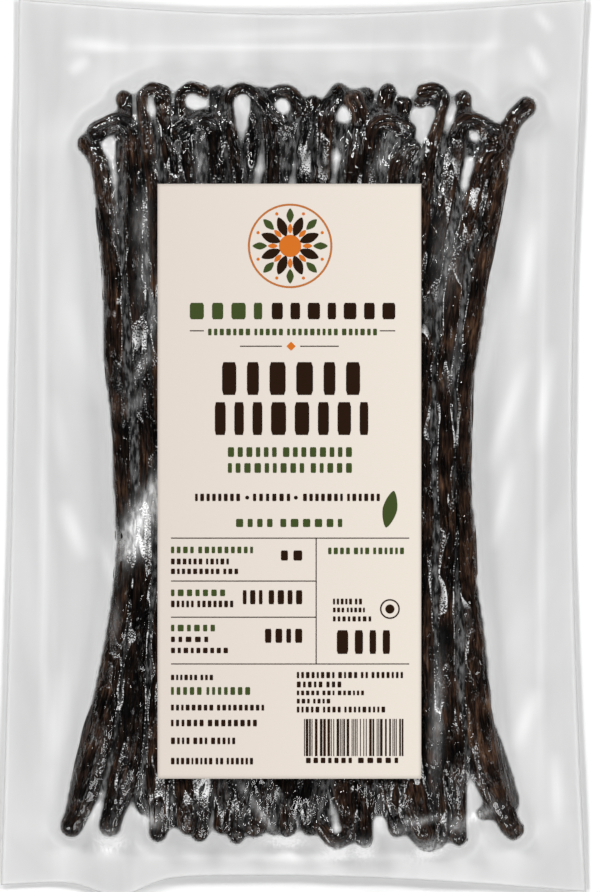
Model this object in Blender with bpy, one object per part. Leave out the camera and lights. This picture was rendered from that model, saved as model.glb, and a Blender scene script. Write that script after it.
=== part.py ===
import bpy
import math
import numpy as np

# A clear sealed pouch packed with vanilla pods, with a paper label on its front.
# It lies on its back: X runs across it, +Y to its top edge, +Z up out of the label.
# The origin is on the resting surface, under the middle of the pouch.
# Sizes are in millimetres. MM turns them to metres where the meshes are made.
MM = 0.001

# Outline of the pouch: four corners, and how far each edge bows inwards
CORNER_BOTTOM_LEFT = (-61.1, -91.4)
CORNER_BOTTOM_RIGHT = (61.1, -92.8)
CORNER_TOP_LEFT = (-57.4, 93.6)
CORNER_TOP_RIGHT = (61.1, 93.6)
BOW_LEFT = 0.6
BOW_RIGHT = 2.9
BOW_TOP = 3.1
BOW_BOTTOM = 2.7
TONGUE_X = -36.5
TONGUE_DEPTH = 3.6
TONGUE_SPREAD = 7.0

# The two films, welded together all round the pods
WELD_THICKNESS = 0.5
WELD_SHARE_OF_BUNDLE = 0.42
WELD_HEIGHT_AT_EDGE = 0.75
WELD_DROOP_LENGTH = 9.0
WELD_DROOP_REACH = 3
WELD_EVEN_PASSES = 30
WELD_WAVE_HEIGHT = 0.16
WELD_WAVE_ACROSS = (0.115, 0.8)
WELD_WAVE_ALONG = (0.083, 0.4)
WELD_WAVE_SLANT = (0.5, 0.05, -0.14)
FRONT_PULL = 0.60
BACK_PULL = 0.20
CLOSING_PASSES = 12
FILM_PASSES = 260
RESTING_FLAT_DEPTH = 0.75
SNAP_TO_REST = 0.02

# The pods: one radius for all, shared out by each pod's own width factor
POD_RADIUS = 2.08
POD_FLATNESS = 0.97
MOST_WIDTH_AT_CROWN = 1.10
WAIST_Y = -12.0
WAIST_HALF_WIDTHS = (35.5, 33.8, 33.6)
# Power of each row's even steps at the waist: below one, the row crowds towards its sides
WAIST_CROWDING = (1.0, 0.8, 0.45)
BEND_POWERS_TOP = (2.0, 2.5)
BEND_POWER_FOOT = 2.9
BEND_REACH = 1.2
BUNDLE_HEIGHT = 11.4
BUNDLE_HEIGHT_LOST_AT_SIDES = 3.0
BUNDLE_HEIGHT_LOST_AT_ENDS = 1.7
BUNDLE_HALF_WIDTH = 47.0
BUNDLE_HALF_LENGTH = 78.0
BUNDLE_MIDDLE_Y = -3.0
BUNDLE_FALL_LIMIT = 1.1
POD_FLOOR = 0.15

# Radius along a pod, by its share of the length from the foot
TIP_LENGTH = 0.035
FULLEST_GAINS = (1.18, 1.05, 1.0)
FULLEST_PLACE = 0.09
FULLEST_SPREAD = 0.15
WAIST_THINNING = 0.17
WAIST_PLACE = 0.50
WAIST_SPREAD = 0.24
NECK_START = 0.66
NECK_POWER = 1.5

# Unevenness of each pod's run: two slow waves across, and a lift from its neighbours
WAVE_SEED = 5
LONG_WAVE = (1.1, 56.0, 92.0)
SHORT_WAVE = (0.75, 21.0, 34.0)
WAVE_FADE_POWER = 6
FRONT_LIFT = 1.1

# Each kind of crown: turn in degrees, bend radius, straight run after the bend,
# and the widths of neck and nub against the pod's own radius
CROWN_KINDS = {
    "blunt": (10.0, 9.0, 0.6, 0.80, 0.90),
    "nod": (32.0, 8.0, 1.8, 0.88, 1.02),
    "cane": (122.0, 2.4, 1.5, 0.54, 0.64),
    "loop": (165.0, 2.9, 2.2, 0.64, 0.80),
    "hook": (142.0, 3.0, 9.5, 0.62, 0.72),
    "bent": (112.0, 2.7, 3.6, 0.84, 1.00),
}
# The same for the feet, whose widths at the start and end of the arc are against the radius
FOOT_KINDS = {
    "tip": (12.0, 6.0, 0.4, 0.80, 0.78),
    "curl": (150.0, 2.4, 3.0, 0.76, 0.56),
    "crook": (104.0, 2.4, 4.0, 0.76, 0.76),
}

# Front row: kind of crown, the side that it turns to, crown x and y; kind of foot, the side
# that it turns to, foot x and y; width factor
FRONT_ROW = (
    ("nod", -1, -43.0, 65.4, "tip", -1, -46.3, -81.3, 1.32),
    ("bent", -1, -36.2, 69.7, "tip", 1, -38.2, -81.3, 1.20),
    ("cane", 1, -29.2, 76.0, "tip", -1, -28.2, -82.2, 1.06),
    ("blunt", 1, -27.2, 74.5, "tip", 1, -22.0, -80.7, 1.00),
    ("cane", 1, -21.2, 76.0, "tip", 1, -19.6, -82.2, 1.02),
    ("bent", -1, -18.8, 69.3, "tip", -1, -14.7, -80.5, 1.00),
    ("hook", 1, -10.4, 76.0, "tip", 1, -12.0, -82.6, 1.00),
    ("loop", 1, -2.4, 75.7, "tip", -1, -8.0, -81.3, 1.12),
    ("blunt", 1, 4.1, 73.4, "tip", 1, -1.1, -81.1, 0.96),
    ("nod", 1, 9.6, 76.0, "tip", 1, 3.4, -80.9, 1.04),
    ("nod", -1, 12.6, 74.4, "curl", -1, 9.1, -83.6, 1.00),
    ("bent", 1, 19.1, 69.5, "tip", -1, 14.7, -83.4, 0.98),
    ("nod", 1, 24.3, 64.4, "tip", 1, 21.6, -81.3, 1.00),
    ("cane", -1, 28.9, 76.0, "tip", 1, 27.2, -82.2, 1.12),
    ("bent", 1, 37.2, 69.9, "curl", -1, 28.4, -84.3, 1.06),
    ("nod", 1, 42.6, 65.0, "tip", 1, 34.3, -83.0, 1.04),
    ("nod", 1, 48.4, 73.2, "tip", 1, 45.9, -82.0, 1.28),
)

# Middle row, seen between the front pods at both ends
MIDDLE_ROW = (
    ("blunt", -1, -35.3, 74.5, "tip", -1, -36.6, -75.0, 1.00),
    ("bent", 1, -27.0, 68.9, "tip", -1, -30.1, -76.3, 0.92),
    ("blunt", -1, -18.9, 70.5, "tip", 1, -24.5, -79.3, 0.96),
    ("blunt", 1, -15.7, 75.5, "crook", 1, -18.4, -75.9, 0.98),
    ("blunt", 1, -6.6, 75.3, "tip", 1, -10.7, -79.8, 1.06),
    ("blunt", -1, 0.7, 71.1, "tip", -1, -4.1, -80.9, 0.98),
    ("blunt", 1, 6.4, 66.9, "crook", -1, -0.7, -75.1, 0.98),
    ("blunt", -1, 15.9, 75.2, "tip", 1, 6.6, -80.1, 1.04),
    ("blunt", 1, 18.4, 76.0, "tip", -1, 11.8, -80.7, 1.00),
    ("blunt", -1, 22.9, 73.2, "tip", 1, 17.0, -76.4, 0.96),
    ("cane", -1, 28.4, 73.4, "crook", 1, 19.1, -77.2, 1.00),
    ("blunt", 1, 30.8, 65.6, "tip", 1, 24.3, -78.0, 0.98),
    ("blunt", -1, 35.4, 74.5, "tip", -1, 29.3, -77.2, 1.00),
    ("blunt", 1, 41.0, 66.4, "crook", -1, 38.4, -78.4, 1.00),
)

# Back row: shared out evenly, with a seeded draw for its unevenness
BACK_COUNT = 12
BACK_SEED = 11
BACK_HALF_WIDTH_TOP = 36.0
BACK_HALF_WIDTH_FOOT = 31.0
BACK_UNEVENNESS = 1.5
BACK_WIDTHS = (0.88, 0.96)
BACK_CROWN_Y = (64.0, 72.0)
BACK_FOOT_Y = (-78.0, -70.0)

ROW_HEIGHTS = (9.2, 5.6, 2.2)

# Stations where the pods are pressed apart, and the grids of film heights
STATION_STEP = 3.0
STATION_LOW = -85.0
STATION_HIGH = 77.0
SETTLE_PASSES = 240
SHAFT_CONTACT = 0.98
PUSH_SHARE = 0.35
HOLD_ACROSS = 0.15
HOLD_HEIGHT = 0.02
LINE_PASSES = 6
AIM_PASSES = 3
CROWN_ZONE_Y = 50.0
FOOT_ZONE_Y = -63.0
ZONE_BLEND_ROWS = 7
CROWN_PASSES = 60
CROWN_CONTACT = 0.96
CROWN_PUSH = 0.3
CROWN_HEADROOM = 0.6
SHAFT_SAMPLES = 110
END_SAMPLES = 16
RASTER_STEP = 0.8
RASTER_HALF_X = 64.0
RASTER_HALF_Y = 96.0
NO_POD = 1000.0

# Mesh of the pouch, before and after thinning
GRID_ACROSS = 150
GRID_ALONG = 230
BAG_TRIANGLES = 10400

# Paper label
LABEL_CENTRE = (-0.85, -7.0)
LABEL_WIDTH = 54.7
LABEL_HEIGHT = 123.4
LABEL_THICKNESS = 0.35
LABEL_GAP = 0.30
LABEL_CROWN = 0.5
LABEL_CELLS_ACROSS = 14
LABEL_CELLS_ALONG = 16
LABEL_PROBES = (140, 280)

BAG_COLOUR = (0.045, 0.028, 0.018)
BAG_ROUGHNESS = 0.28
LABEL_COLOUR = (0.83, 0.76, 0.66)
LABEL_ROUGHNESS = 0.6


def clear_scene():
    for thing in list(bpy.data.objects):
        bpy.data.objects.remove(thing, do_unlink=True)


def make_material(name, colour, roughness):
    material = bpy.data.materials.new(name)
    material.use_nodes = True
    shader = material.node_tree.nodes["Principled BSDF"]
    shader.inputs["Base Color"].default_value = (*colour, 1.0)
    shader.inputs["Roughness"].default_value = roughness
    shader.inputs["Metallic"].default_value = 0.0
    return material


def back_row():
    # Crowns and feet in even steps, each moved a little by the seeded draw
    draw = np.random.default_rng(BACK_SEED)
    kinds = draw.choice(["blunt", "blunt", "bent"], BACK_COUNT)
    sides = draw.choice([-1, 1], BACK_COUNT)
    crown_x = np.linspace(-BACK_HALF_WIDTH_TOP, BACK_HALF_WIDTH_TOP, BACK_COUNT)
    foot_x = np.linspace(-BACK_HALF_WIDTH_FOOT, BACK_HALF_WIDTH_FOOT, BACK_COUNT)
    crown_x = crown_x + draw.uniform(-BACK_UNEVENNESS, BACK_UNEVENNESS, BACK_COUNT)
    foot_x = foot_x + draw.uniform(-BACK_UNEVENNESS, BACK_UNEVENNESS, BACK_COUNT)
    crown_y = draw.uniform(*BACK_CROWN_Y, BACK_COUNT)
    foot_y = draw.uniform(*BACK_FOOT_Y, BACK_COUNT)
    widths = draw.uniform(*BACK_WIDTHS, BACK_COUNT)
    feet = ["tip"] * BACK_COUNT
    return tuple(zip(kinds, sides, crown_x, crown_y, feet, sides, foot_x, foot_y, widths))


class Ends:
    # One end of every pod: the arc that its centre line ends in, and the widths along it
    def __init__(self, kinds, sides, x, y, radius):
        turn, bend, run, first, last = (np.array(column) for column in zip(*kinds))
        self.turn = np.radians(turn) * np.array(sides, float)
        self.bend = bend
        self.run = run
        self.first = first
        self.last = last
        self.x = np.array(x, float)
        self.y = np.array(y, float)
        # First guess of where the arc starts: below the end by the arc's height, aside by
        # its reach
        over = turn > 90.0
        rise = bend * np.where(over, 1.0, np.sin(np.radians(turn))) + np.where(over, 0.0, run)
        reach = bend * np.where(over, 1.0, 1.0 - np.cos(np.radians(turn)))
        self.rise = rise + radius * np.where(over, first, last)
        self.reach = np.array(sides, float) * reach

    def arc(self, x, y, heading):
        # The heading turns evenly along the bend and then keeps straight
        bent = np.abs(self.turn) * self.bend
        length = bent + self.run
        way = (np.arange(1, END_SAMPLES + 1) / END_SAMPLES)[:, None] * length
        turned = np.clip((way - length / (2 * END_SAMPLES)) / bent, 0.0, 1.0)
        direction = heading - self.turn * turned
        step = length / END_SAMPLES
        widths = self.first + (self.last - self.first) * (way / length) ** 2
        return (x + np.cumsum(np.cos(direction) * step, axis=0),
                y + np.cumsum(np.sin(direction) * step, axis=0), widths)


def crowded(count, half, power):
    steps = np.linspace(-1.0, 1.0, count)
    return half * np.sign(steps) * np.abs(steps) ** power


class Pods:
    # Columns of numbers, one place for each pod, front row first
    def __init__(self):
        rows = (FRONT_ROW, MIDDLE_ROW, back_row())
        every = [pod for row in rows for pod in row]
        crown, crown_side, crown_x, crown_y, foot, foot_side, foot_x, foot_y, width = zip(*every)
        self.count = len(every)
        self.swell = np.array(width)
        self.radius = POD_RADIUS * np.minimum(self.swell, MOST_WIDTH_AT_CROWN)
        self.crown = Ends([CROWN_KINDS[kind] for kind in crown], crown_side, crown_x, crown_y,
                          self.radius)
        # A foot's side is seen from above too, so its turn runs the other way round
        self.foot = Ends([FOOT_KINDS[kind] for kind in foot], foot_side, foot_x, foot_y,
                         self.radius)
        self.foot.turn = -self.foot.turn
        self.neck_x = self.crown.x - self.crown.reach
        self.neck_y = self.crown.y - self.crown.rise
        self.heel_x = self.foot.x - self.foot.reach
        self.heel_y = self.foot.y + self.foot.rise
        self.waist_x = np.concatenate(
            [crowded(len(row), half, power)
             for row, half, power in zip(rows, WAIST_HALF_WIDTHS, WAIST_CROWDING)])
        half = max(WAIST_HALF_WIDTHS)
        self.power_top = np.interp(self.waist_x, (-half, half), BEND_POWERS_TOP)
        self.home_z = np.concatenate(
            [np.full(len(row), z) for z, row in zip(ROW_HEIGHTS, rows)])
        self.row = np.repeat(np.arange(len(rows)), [len(row) for row in rows])
        self.gain = np.array(FULLEST_GAINS)[self.row]
        draw = np.random.default_rng(WAVE_SEED)
        self.home_z[:len(FRONT_ROW)] += draw.uniform(-FRONT_LIFT, FRONT_LIFT, len(FRONT_ROW))
        self.waves = [(draw.uniform(0.5, 1.0, self.count) * height,
                       2 * math.pi / draw.uniform(shortest, longest, self.count),
                       draw.uniform(0.0, 2 * math.pi, self.count))
                      for height, shortest, longest in (LONG_WAVE, SHORT_WAVE)]

    def shaft_x(self, y):
        # From the waist each pod bends away to its crown or foot by a power of the distance
        up = np.clip((y - WAIST_Y) / (self.neck_y - WAIST_Y), 0.0, BEND_REACH)
        down = np.clip((y - WAIST_Y) / (self.heel_y - WAIST_Y), 0.0, BEND_REACH)
        top = (self.neck_x - self.waist_x) * up ** self.power_top
        foot = (self.heel_x - self.waist_x) * down ** BEND_POWER_FOOT
        fade = 1.0 - np.minimum(up + down, 1.0) ** WAVE_FADE_POWER
        wave = sum(height * np.sin(rate * y + phase) for height, rate, phase in self.waves)
        return self.waist_x + top + foot + fade * wave

    def shaft_radius(self, y):
        # Narrow at the heel, fullest a little above it, then thinning slowly to the neck
        part = np.clip((y - self.heel_y) / (self.neck_y - self.heel_y), 0.0, 1.0)
        fullest = np.exp(-((part - FULLEST_PLACE) / FULLEST_SPREAD) ** 2)
        full = 1.0 + (self.swell * self.gain - 1.0) * fullest
        tip = 1.0 - (1.0 - self.foot.first) * np.exp(-(part / TIP_LENGTH) ** 2)
        waist = 1.0 - WAIST_THINNING * np.exp(-((part - WAIST_PLACE) / WAIST_SPREAD) ** 2)
        up = np.clip((part - NECK_START) / (1.0 - NECK_START), 0.0, 1.0)
        neck = 1.0 - (1.0 - self.crown.first) * up ** NECK_POWER
        return self.radius * full * tip * waist * neck


def ceiling(x, y):
    # Height of the packed bundle: highest in the middle, lower at its sides and ends
    across = np.clip(np.abs(x) / BUNDLE_HALF_WIDTH, 0.0, BUNDLE_FALL_LIMIT)
    along = np.clip(np.abs(y - BUNDLE_MIDDLE_Y) / BUNDLE_HALF_LENGTH, 0.0, BUNDLE_FALL_LIMIT)
    return (BUNDLE_HEIGHT - BUNDLE_HEIGHT_LOST_AT_SIDES * across ** 3
            - BUNDLE_HEIGHT_LOST_AT_ENDS * along ** 4)


def settle_shafts(pods):
    # At each station the pods are circles that push each other apart inside the film
    y = np.arange(STATION_LOW, STATION_HIGH, STATION_STEP)[:, None]
    target = pods.shaft_x(y)
    radius = pods.shaft_radius(y)
    present = (y > pods.heel_y - STATION_STEP) & (y < pods.neck_y + STATION_STEP)
    place = np.stack([target, np.broadcast_to(pods.home_z, target.shape)], axis=2)
    reach = SHAFT_CONTACT * (radius[:, :, None] + radius[:, None, :])
    meet = present[:, :, None] & present[:, None, :] & ~np.eye(pods.count, dtype=bool)
    for _ in range(SETTLE_PASSES):
        apart = place[:, :, None, :] - place[:, None, :, :]
        distance = np.sqrt((apart ** 2).sum(axis=3)) + 1e-6
        overlap = np.where(meet, np.maximum(reach - distance, 0.0), 0.0)
        push = (apart * (overlap / distance)[..., None]).sum(axis=2)
        place = place + PUSH_SHARE * push
        place[:, :, 0] += HOLD_ACROSS * (target - place[:, :, 0])
        place[:, :, 1] += HOLD_HEIGHT * (pods.home_z - place[:, :, 1])
        place[1:-1] = 0.5 * place[1:-1] + 0.25 * (place[:-2] + place[2:])
        top = ceiling(place[:, :, 0], y) - radius
        place[:, :, 1] = np.clip(place[:, :, 1], radius + POD_FLOOR, top)
    return y[:, 0], place


def centre_lines(pods):
    # Each pod's centre line and radius from its foot's end: arc, settled shaft, crown's arc
    stations, place = settle_shafts(pods)
    share = np.linspace(0.0, 1.0, SHAFT_SAMPLES)[:, None]
    y = pods.heel_y + share * (pods.neck_y - pods.heel_y)
    x = np.empty_like(y)
    z = np.empty_like(y)
    for i in range(pods.count):
        x[:, i] = np.interp(y[:, i], stations, place[:, i, 0])
        z[:, i] = np.interp(y[:, i], stations, place[:, i, 1])
    for _ in range(LINE_PASSES):
        x[1:-1] = 0.5 * x[1:-1] + 0.25 * (x[:-2] + x[2:])
        z[1:-1] = 0.5 * z[1:-1] + 0.25 * (z[:-2] + z[2:])
    radius = pods.shaft_radius(y)
    up = np.arctan2(y[-1] - y[-4], x[-1] - x[-4])
    down = np.arctan2(y[0] - y[3], x[0] - x[3])
    crown_x, crown_y, crown_width = pods.crown.arc(x[-1], y[-1], up)
    foot_x, foot_y, foot_width = pods.foot.arc(x[0], y[0], down)
    flat = np.ones((END_SAMPLES, 1))
    lines = np.stack([np.concatenate([foot_x[::-1], x, crown_x]),
                      np.concatenate([foot_y[::-1], y, crown_y]),
                      np.concatenate([flat * z[0], z, flat * z[-1]])], axis=2)
    foot_radius = radius[0] * foot_width[::-1] / pods.foot.first
    return lines, np.concatenate([foot_radius, radius, pods.radius * crown_width])


def aimed_lines(pods):
    # Neck and heel are moved until the crown's highest point and the foot's lowest one
    # stand where the table puts them
    each = np.arange(pods.count)
    for _ in range(AIM_PASSES):
        lines, radius = centre_lines(pods)
        top = lines[-END_SAMPLES:, :, 1] + radius[-END_SAMPLES:]
        low = lines[:END_SAMPLES, :, 1] - radius[:END_SAMPLES]
        highest = top.argmax(axis=0)
        lowest = low.argmin(axis=0)
        pods.neck_x = pods.neck_x + pods.crown.x - lines[-END_SAMPLES:, :, 0][highest, each]
        pods.neck_y = pods.neck_y + pods.crown.y - top[highest, each]
        pods.heel_x = pods.heel_x + pods.foot.x - lines[:END_SAMPLES, :, 0][lowest, each]
        pods.heel_y = pods.heel_y + pods.foot.y - low[lowest, each]
    return centre_lines(pods)


def part_zone(pods, points, radius, zone, steps):
    # Pods that cross in the zone are moved apart in height alone, so that their outlines
    # stay. A pod of the front row stays over the middle row's, and those over the back's.
    # The steps count the zone's rows from its inner end, where the move begins gently.
    part = points[zone]
    size = radius[zone]
    rows, count = size.shape
    owner = np.tile(np.arange(count), rows)
    flat_xy = part[:, :, :2].reshape(-1, 2)
    flat_radius = size.reshape(-1)
    apart = flat_xy[:, None, :] - flat_xy[None, :, :]
    across = (apart ** 2).sum(axis=2)
    reach = (CROWN_CONTACT * (flat_radius[:, None] + flat_radius[None, :])) ** 2
    meet = (across < reach) & (owner[:, None] != owner[None, :])
    need = np.sqrt(np.where(meet, reach - across, 0.0))
    row = np.tile(pods.row, rows)
    order = np.sign(row[None, :] - row[:, None])
    height = part[:, :, 2].reshape(-1).copy()
    top = ceiling(flat_xy[:, 0], flat_xy[:, 1]) - flat_radius + CROWN_HEADROOM
    for _ in range(CROWN_PASSES):
        gap = height[:, None] - height[None, :]
        sign = np.where(order != 0, order, np.where(gap >= 0.0, 1.0, -1.0))
        short = np.where(meet, np.maximum(need - sign * gap, 0.0), 0.0) * sign
        most = short.max(axis=1) + short.min(axis=1)
        height = height + CROWN_PUSH * most
        height = np.clip(height, flat_radius + POD_FLOOR, top)
        lines = height.reshape(rows, count)
        lines[1:-1] = 0.4 * lines[1:-1] + 0.3 * (lines[:-2] + lines[2:])
        height = lines.reshape(-1)
    share = np.clip(steps / ZONE_BLEND_ROWS, 0.0, 1.0)[:, None]
    points[zone, :, 2] = share * height.reshape(rows, count) + (1.0 - share) * part[:, :, 2]


def part_ends(pods, points, radius):
    # The crowns' zone and the feet's zone, each with a stretch of the shafts beside it
    crowns = np.where(points[:-END_SAMPLES, 0, 1] > CROWN_ZONE_Y)[0][0]
    feet = END_SAMPLES + np.where(points[END_SAMPLES:, 0, 1] > FOOT_ZONE_Y)[0][0]
    part_zone(pods, points, radius, slice(crowns, None), np.arange(len(points) - crowns))
    part_zone(pods, points, radius, slice(0, feet), np.arange(feet)[::-1])
    return points


def raster_axes():
    x = np.arange(-RASTER_HALF_X, RASTER_HALF_X + 0.5 * RASTER_STEP, RASTER_STEP)
    y = np.arange(-RASTER_HALF_Y, RASTER_HALF_Y + 0.5 * RASTER_STEP, RASTER_STEP)
    return x, y


def envelope(points, radius):
    # Highest and lowest reach of the pods over each raster cell, as a row of flattened balls
    x_axis, y_axis = raster_axes()
    span = int(math.ceil(radius.max() / RASTER_STEP)) + 1
    offset = np.arange(-span, span + 1)
    middle = points.reshape(-1, 3)
    size = radius.reshape(-1)
    column = np.rint((middle[:, 0] + RASTER_HALF_X) / RASTER_STEP).astype(int)
    line = np.rint((middle[:, 1] + RASTER_HALF_Y) / RASTER_STEP).astype(int)
    columns = column[:, None, None] + offset[None, None, :]
    lines = line[:, None, None] + offset[None, :, None]
    away_x = x_axis[columns] - middle[:, 0, None, None]
    away_y = y_axis[lines] - middle[:, 1, None, None]
    inside = size[:, None, None] ** 2 - away_x ** 2 - away_y ** 2
    rise = POD_FLATNESS * np.sqrt(np.maximum(inside, 0.0))
    reached = inside > 0.0
    where = (np.broadcast_to(lines, inside.shape)[reached],
             np.broadcast_to(columns, inside.shape)[reached])
    height = np.broadcast_to(middle[:, 2, None, None], inside.shape)[reached]
    high = np.full((len(y_axis), len(x_axis)), -NO_POD)
    low = np.full((len(y_axis), len(x_axis)), NO_POD)
    np.maximum.at(high, where, height + rise[reached])
    np.minimum.at(low, where, height - rise[reached])
    return high, low


def weld_plane(high):
    # Height where the films meet: part of the bundle's own height beside the pods,
    # drooping outwards with slow waves
    x_axis, y_axis = raster_axes()
    x, y = np.meshgrid(x_axis, y_axis)
    reached = high > 0.0
    distance = np.zeros(high.shape)
    for _ in range(int(WELD_DROOP_REACH * WELD_DROOP_LENGTH / RASTER_STEP)):
        distance[~reached] += RASTER_STEP
        grown = reached.copy()
        grown[1:] |= reached[:-1]
        grown[:-1] |= reached[1:]
        grown[:, 1:] |= reached[:, :-1]
        grown[:, :-1] |= reached[:, 1:]
        reached = grown
    for _ in range(WELD_EVEN_PASSES):
        distance = smoothed(distance)
    droop = np.exp(-distance / WELD_DROOP_LENGTH)
    across = np.sin(x * WELD_WAVE_ACROSS[0] + WELD_WAVE_ACROSS[1])
    along = np.sin(y * WELD_WAVE_ALONG[0] + WELD_WAVE_ALONG[1])
    share, slant_x, slant_y = WELD_WAVE_SLANT
    wave = across * along + share * np.sin(x * slant_x + y * slant_y)
    beside = WELD_SHARE_OF_BUNDLE * ceiling(x, y)
    height = WELD_HEIGHT_AT_EDGE + (beside - WELD_HEIGHT_AT_EDGE) * droop
    return height + WELD_WAVE_HEIGHT * wave * (1.0 - droop)


def smoothed(field):
    padded = np.pad(field, 1, mode="edge")
    return 0.25 * (padded[:-2, 1:-1] + padded[2:, 1:-1] + padded[1:-1, :-2] + padded[1:-1, 2:])


def film_heights(high, low, weld):
    # A stretched film pulled inwards: each point sinks below its neighbours' mean
    # by the pull, and stays clear of the pods and of the other film
    front = np.maximum(high, weld + WELD_THICKNESS / 2)
    back = np.minimum(low, weld - WELD_THICKNESS / 2)
    for _ in range(CLOSING_PASSES):
        front = np.maximum(front, smoothed(front))
        back = np.minimum(back, smoothed(back))
    front_sink = FRONT_PULL * RASTER_STEP ** 2 / 4
    back_rise = BACK_PULL * RASTER_STEP ** 2 / 4
    for _ in range(FILM_PASSES):
        front = np.maximum(smoothed(front) - front_sink, high)
        front = np.maximum(front, weld + WELD_THICKNESS / 2)
        back = np.minimum(smoothed(back) + back_rise, low)
        back = np.minimum(back, weld - WELD_THICKNESS / 2)
    back = np.maximum(back - RESTING_FLAT_DEPTH, 0.0)
    return front, back


def sample(field, x, y):
    # Value of a raster between its cells
    across = (x + RASTER_HALF_X) / RASTER_STEP
    along = (y + RASTER_HALF_Y) / RASTER_STEP
    i = np.clip(np.floor(along).astype(int), 0, field.shape[0] - 2)
    j = np.clip(np.floor(across).astype(int), 0, field.shape[1] - 2)
    v = along - i
    u = across - j
    lower = field[i, j] * (1 - u) + field[i, j + 1] * u
    upper = field[i + 1, j] * (1 - u) + field[i + 1, j + 1] * u
    return lower * (1 - v) + upper * v


def outline_grid(across, along):
    # The pouch's outline filled with a grid: straight between corners, edges bowed inwards
    u, v = np.meshgrid(np.linspace(0.0, 1.0, across + 1), np.linspace(0.0, 1.0, along + 1))
    left = CORNER_BOTTOM_LEFT[0] * (1 - v) + CORNER_TOP_LEFT[0] * v + BOW_LEFT * np.sin(math.pi * v)
    right = (CORNER_BOTTOM_RIGHT[0] * (1 - v) + CORNER_TOP_RIGHT[0] * v
             - BOW_RIGHT * np.sin(math.pi * v))
    x = left * (1 - u) + right * u
    tongue = TONGUE_DEPTH * np.exp(-((x - TONGUE_X) / TONGUE_SPREAD) ** 2)
    bottom = (CORNER_BOTTOM_LEFT[1] * (1 - u) + CORNER_BOTTOM_RIGHT[1] * u
              + BOW_BOTTOM * np.sin(math.pi * u) - tongue)
    top = CORNER_TOP_LEFT[1] * (1 - u) + CORNER_TOP_RIGHT[1] * u - BOW_TOP * np.sin(math.pi * u)
    y = bottom * (1 - v) + top * v
    return x, y


def closed_sheet(name, x, y, front, back):
    # Two grids of points, front over back, joined by a wall round their edges
    rows, columns = x.shape
    upper = np.stack([x, y, front], axis=2).reshape(-1, 3)
    lower = np.stack([x, y, back], axis=2).reshape(-1, 3)
    vertices = np.concatenate([upper, lower]) * MM
    index = np.arange(rows * columns).reshape(rows, columns)
    a, b = index[:-1, :-1].ravel(), index[:-1, 1:].ravel()
    c, d = index[1:, 1:].ravel(), index[1:, :-1].ravel()
    shift = rows * columns
    top_faces = np.stack([a, b, c, d], axis=1)
    back_faces = np.stack([d, c, b, a], axis=1) + shift
    loop = np.concatenate([index[0, :-1], index[:-1, -1], index[-1, :0:-1], index[:0:-1, 0]])
    ahead = np.roll(loop, -1)
    wall = np.stack([loop, loop + shift, ahead + shift, ahead], axis=1)
    faces = np.concatenate([top_faces, back_faces, wall])
    mesh = bpy.data.meshes.new(name)
    mesh.from_pydata(vertices.tolist(), [], faces.tolist())
    mesh.update()
    thing = bpy.data.objects.new(name, mesh)
    bpy.context.scene.collection.objects.link(thing)
    return thing


def thin_out(thing, triangles):
    # Fewer faces where the form is flat, then the mesh is kept and the modifier dropped
    modifier = thing.modifiers.new("thin", "DECIMATE")
    modifier.decimate_type = "COLLAPSE"
    faces = 2 * len(thing.data.polygons)
    modifier.ratio = triangles / faces
    modifier.use_collapse_triangulate = True
    evaluated = thing.evaluated_get(bpy.context.evaluated_depsgraph_get())
    thinned = bpy.data.meshes.new_from_object(evaluated)
    thing.modifiers.clear()
    thing.data = thinned
    place = np.empty(3 * len(thinned.vertices), np.float32)
    thinned.vertices.foreach_get("co", place)
    height = place[2::3]
    height[height < SNAP_TO_REST * MM] = 0.0
    thinned.vertices.foreach_set("co", place)
    thinned.update()


def make_bag(front, back):
    x, y = outline_grid(GRID_ACROSS, GRID_ALONG)
    bag = closed_sheet("bag", x, y, sample(front, x, y), sample(back, x, y))
    thin_out(bag, BAG_TRIANGLES)
    bag.data.polygons.foreach_set("use_smooth", [True] * len(bag.data.polygons))
    bag.data.materials.clear()
    bag.data.materials.append(make_material("filled_film_pouch", BAG_COLOUR, BAG_ROUGHNESS))
    return bag


def make_label(front):
    # A thin card, a little crowned across, held just over the highest ridges below it
    half_width = LABEL_WIDTH / 2
    half_height = LABEL_HEIGHT / 2
    across = np.linspace(-half_width, half_width, LABEL_CELLS_ACROSS + 1)
    along = np.linspace(-half_height, half_height, LABEL_CELLS_ALONG + 1)
    x, y = np.meshgrid(across, along)
    fine_x, fine_y = np.meshgrid(np.linspace(-half_width, half_width, LABEL_PROBES[0]),
                                 np.linspace(-half_height, half_height, LABEL_PROBES[1]))
    fall = LABEL_CROWN * (fine_x / half_width) ** 2
    under = sample(front, fine_x + LABEL_CENTRE[0], fine_y + LABEL_CENTRE[1]) + fall
    base = under.max() + LABEL_GAP
    back = base - LABEL_CROWN * (x / half_width) ** 2
    label = closed_sheet("label", x + LABEL_CENTRE[0], y + LABEL_CENTRE[1],
                         back + LABEL_THICKNESS, back)
    label.data.materials.append(make_material("paper_label", LABEL_COLOUR, LABEL_ROUGHNESS))
    return label


def main():
    clear_scene()
    pods = Pods()
    points, radius = aimed_lines(pods)
    points = part_ends(pods, points, radius)
    high, low = envelope(points, radius)
    front, back = film_heights(high, low, weld_plane(high))
    make_bag(front, back)
    make_label(front)


main()
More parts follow.
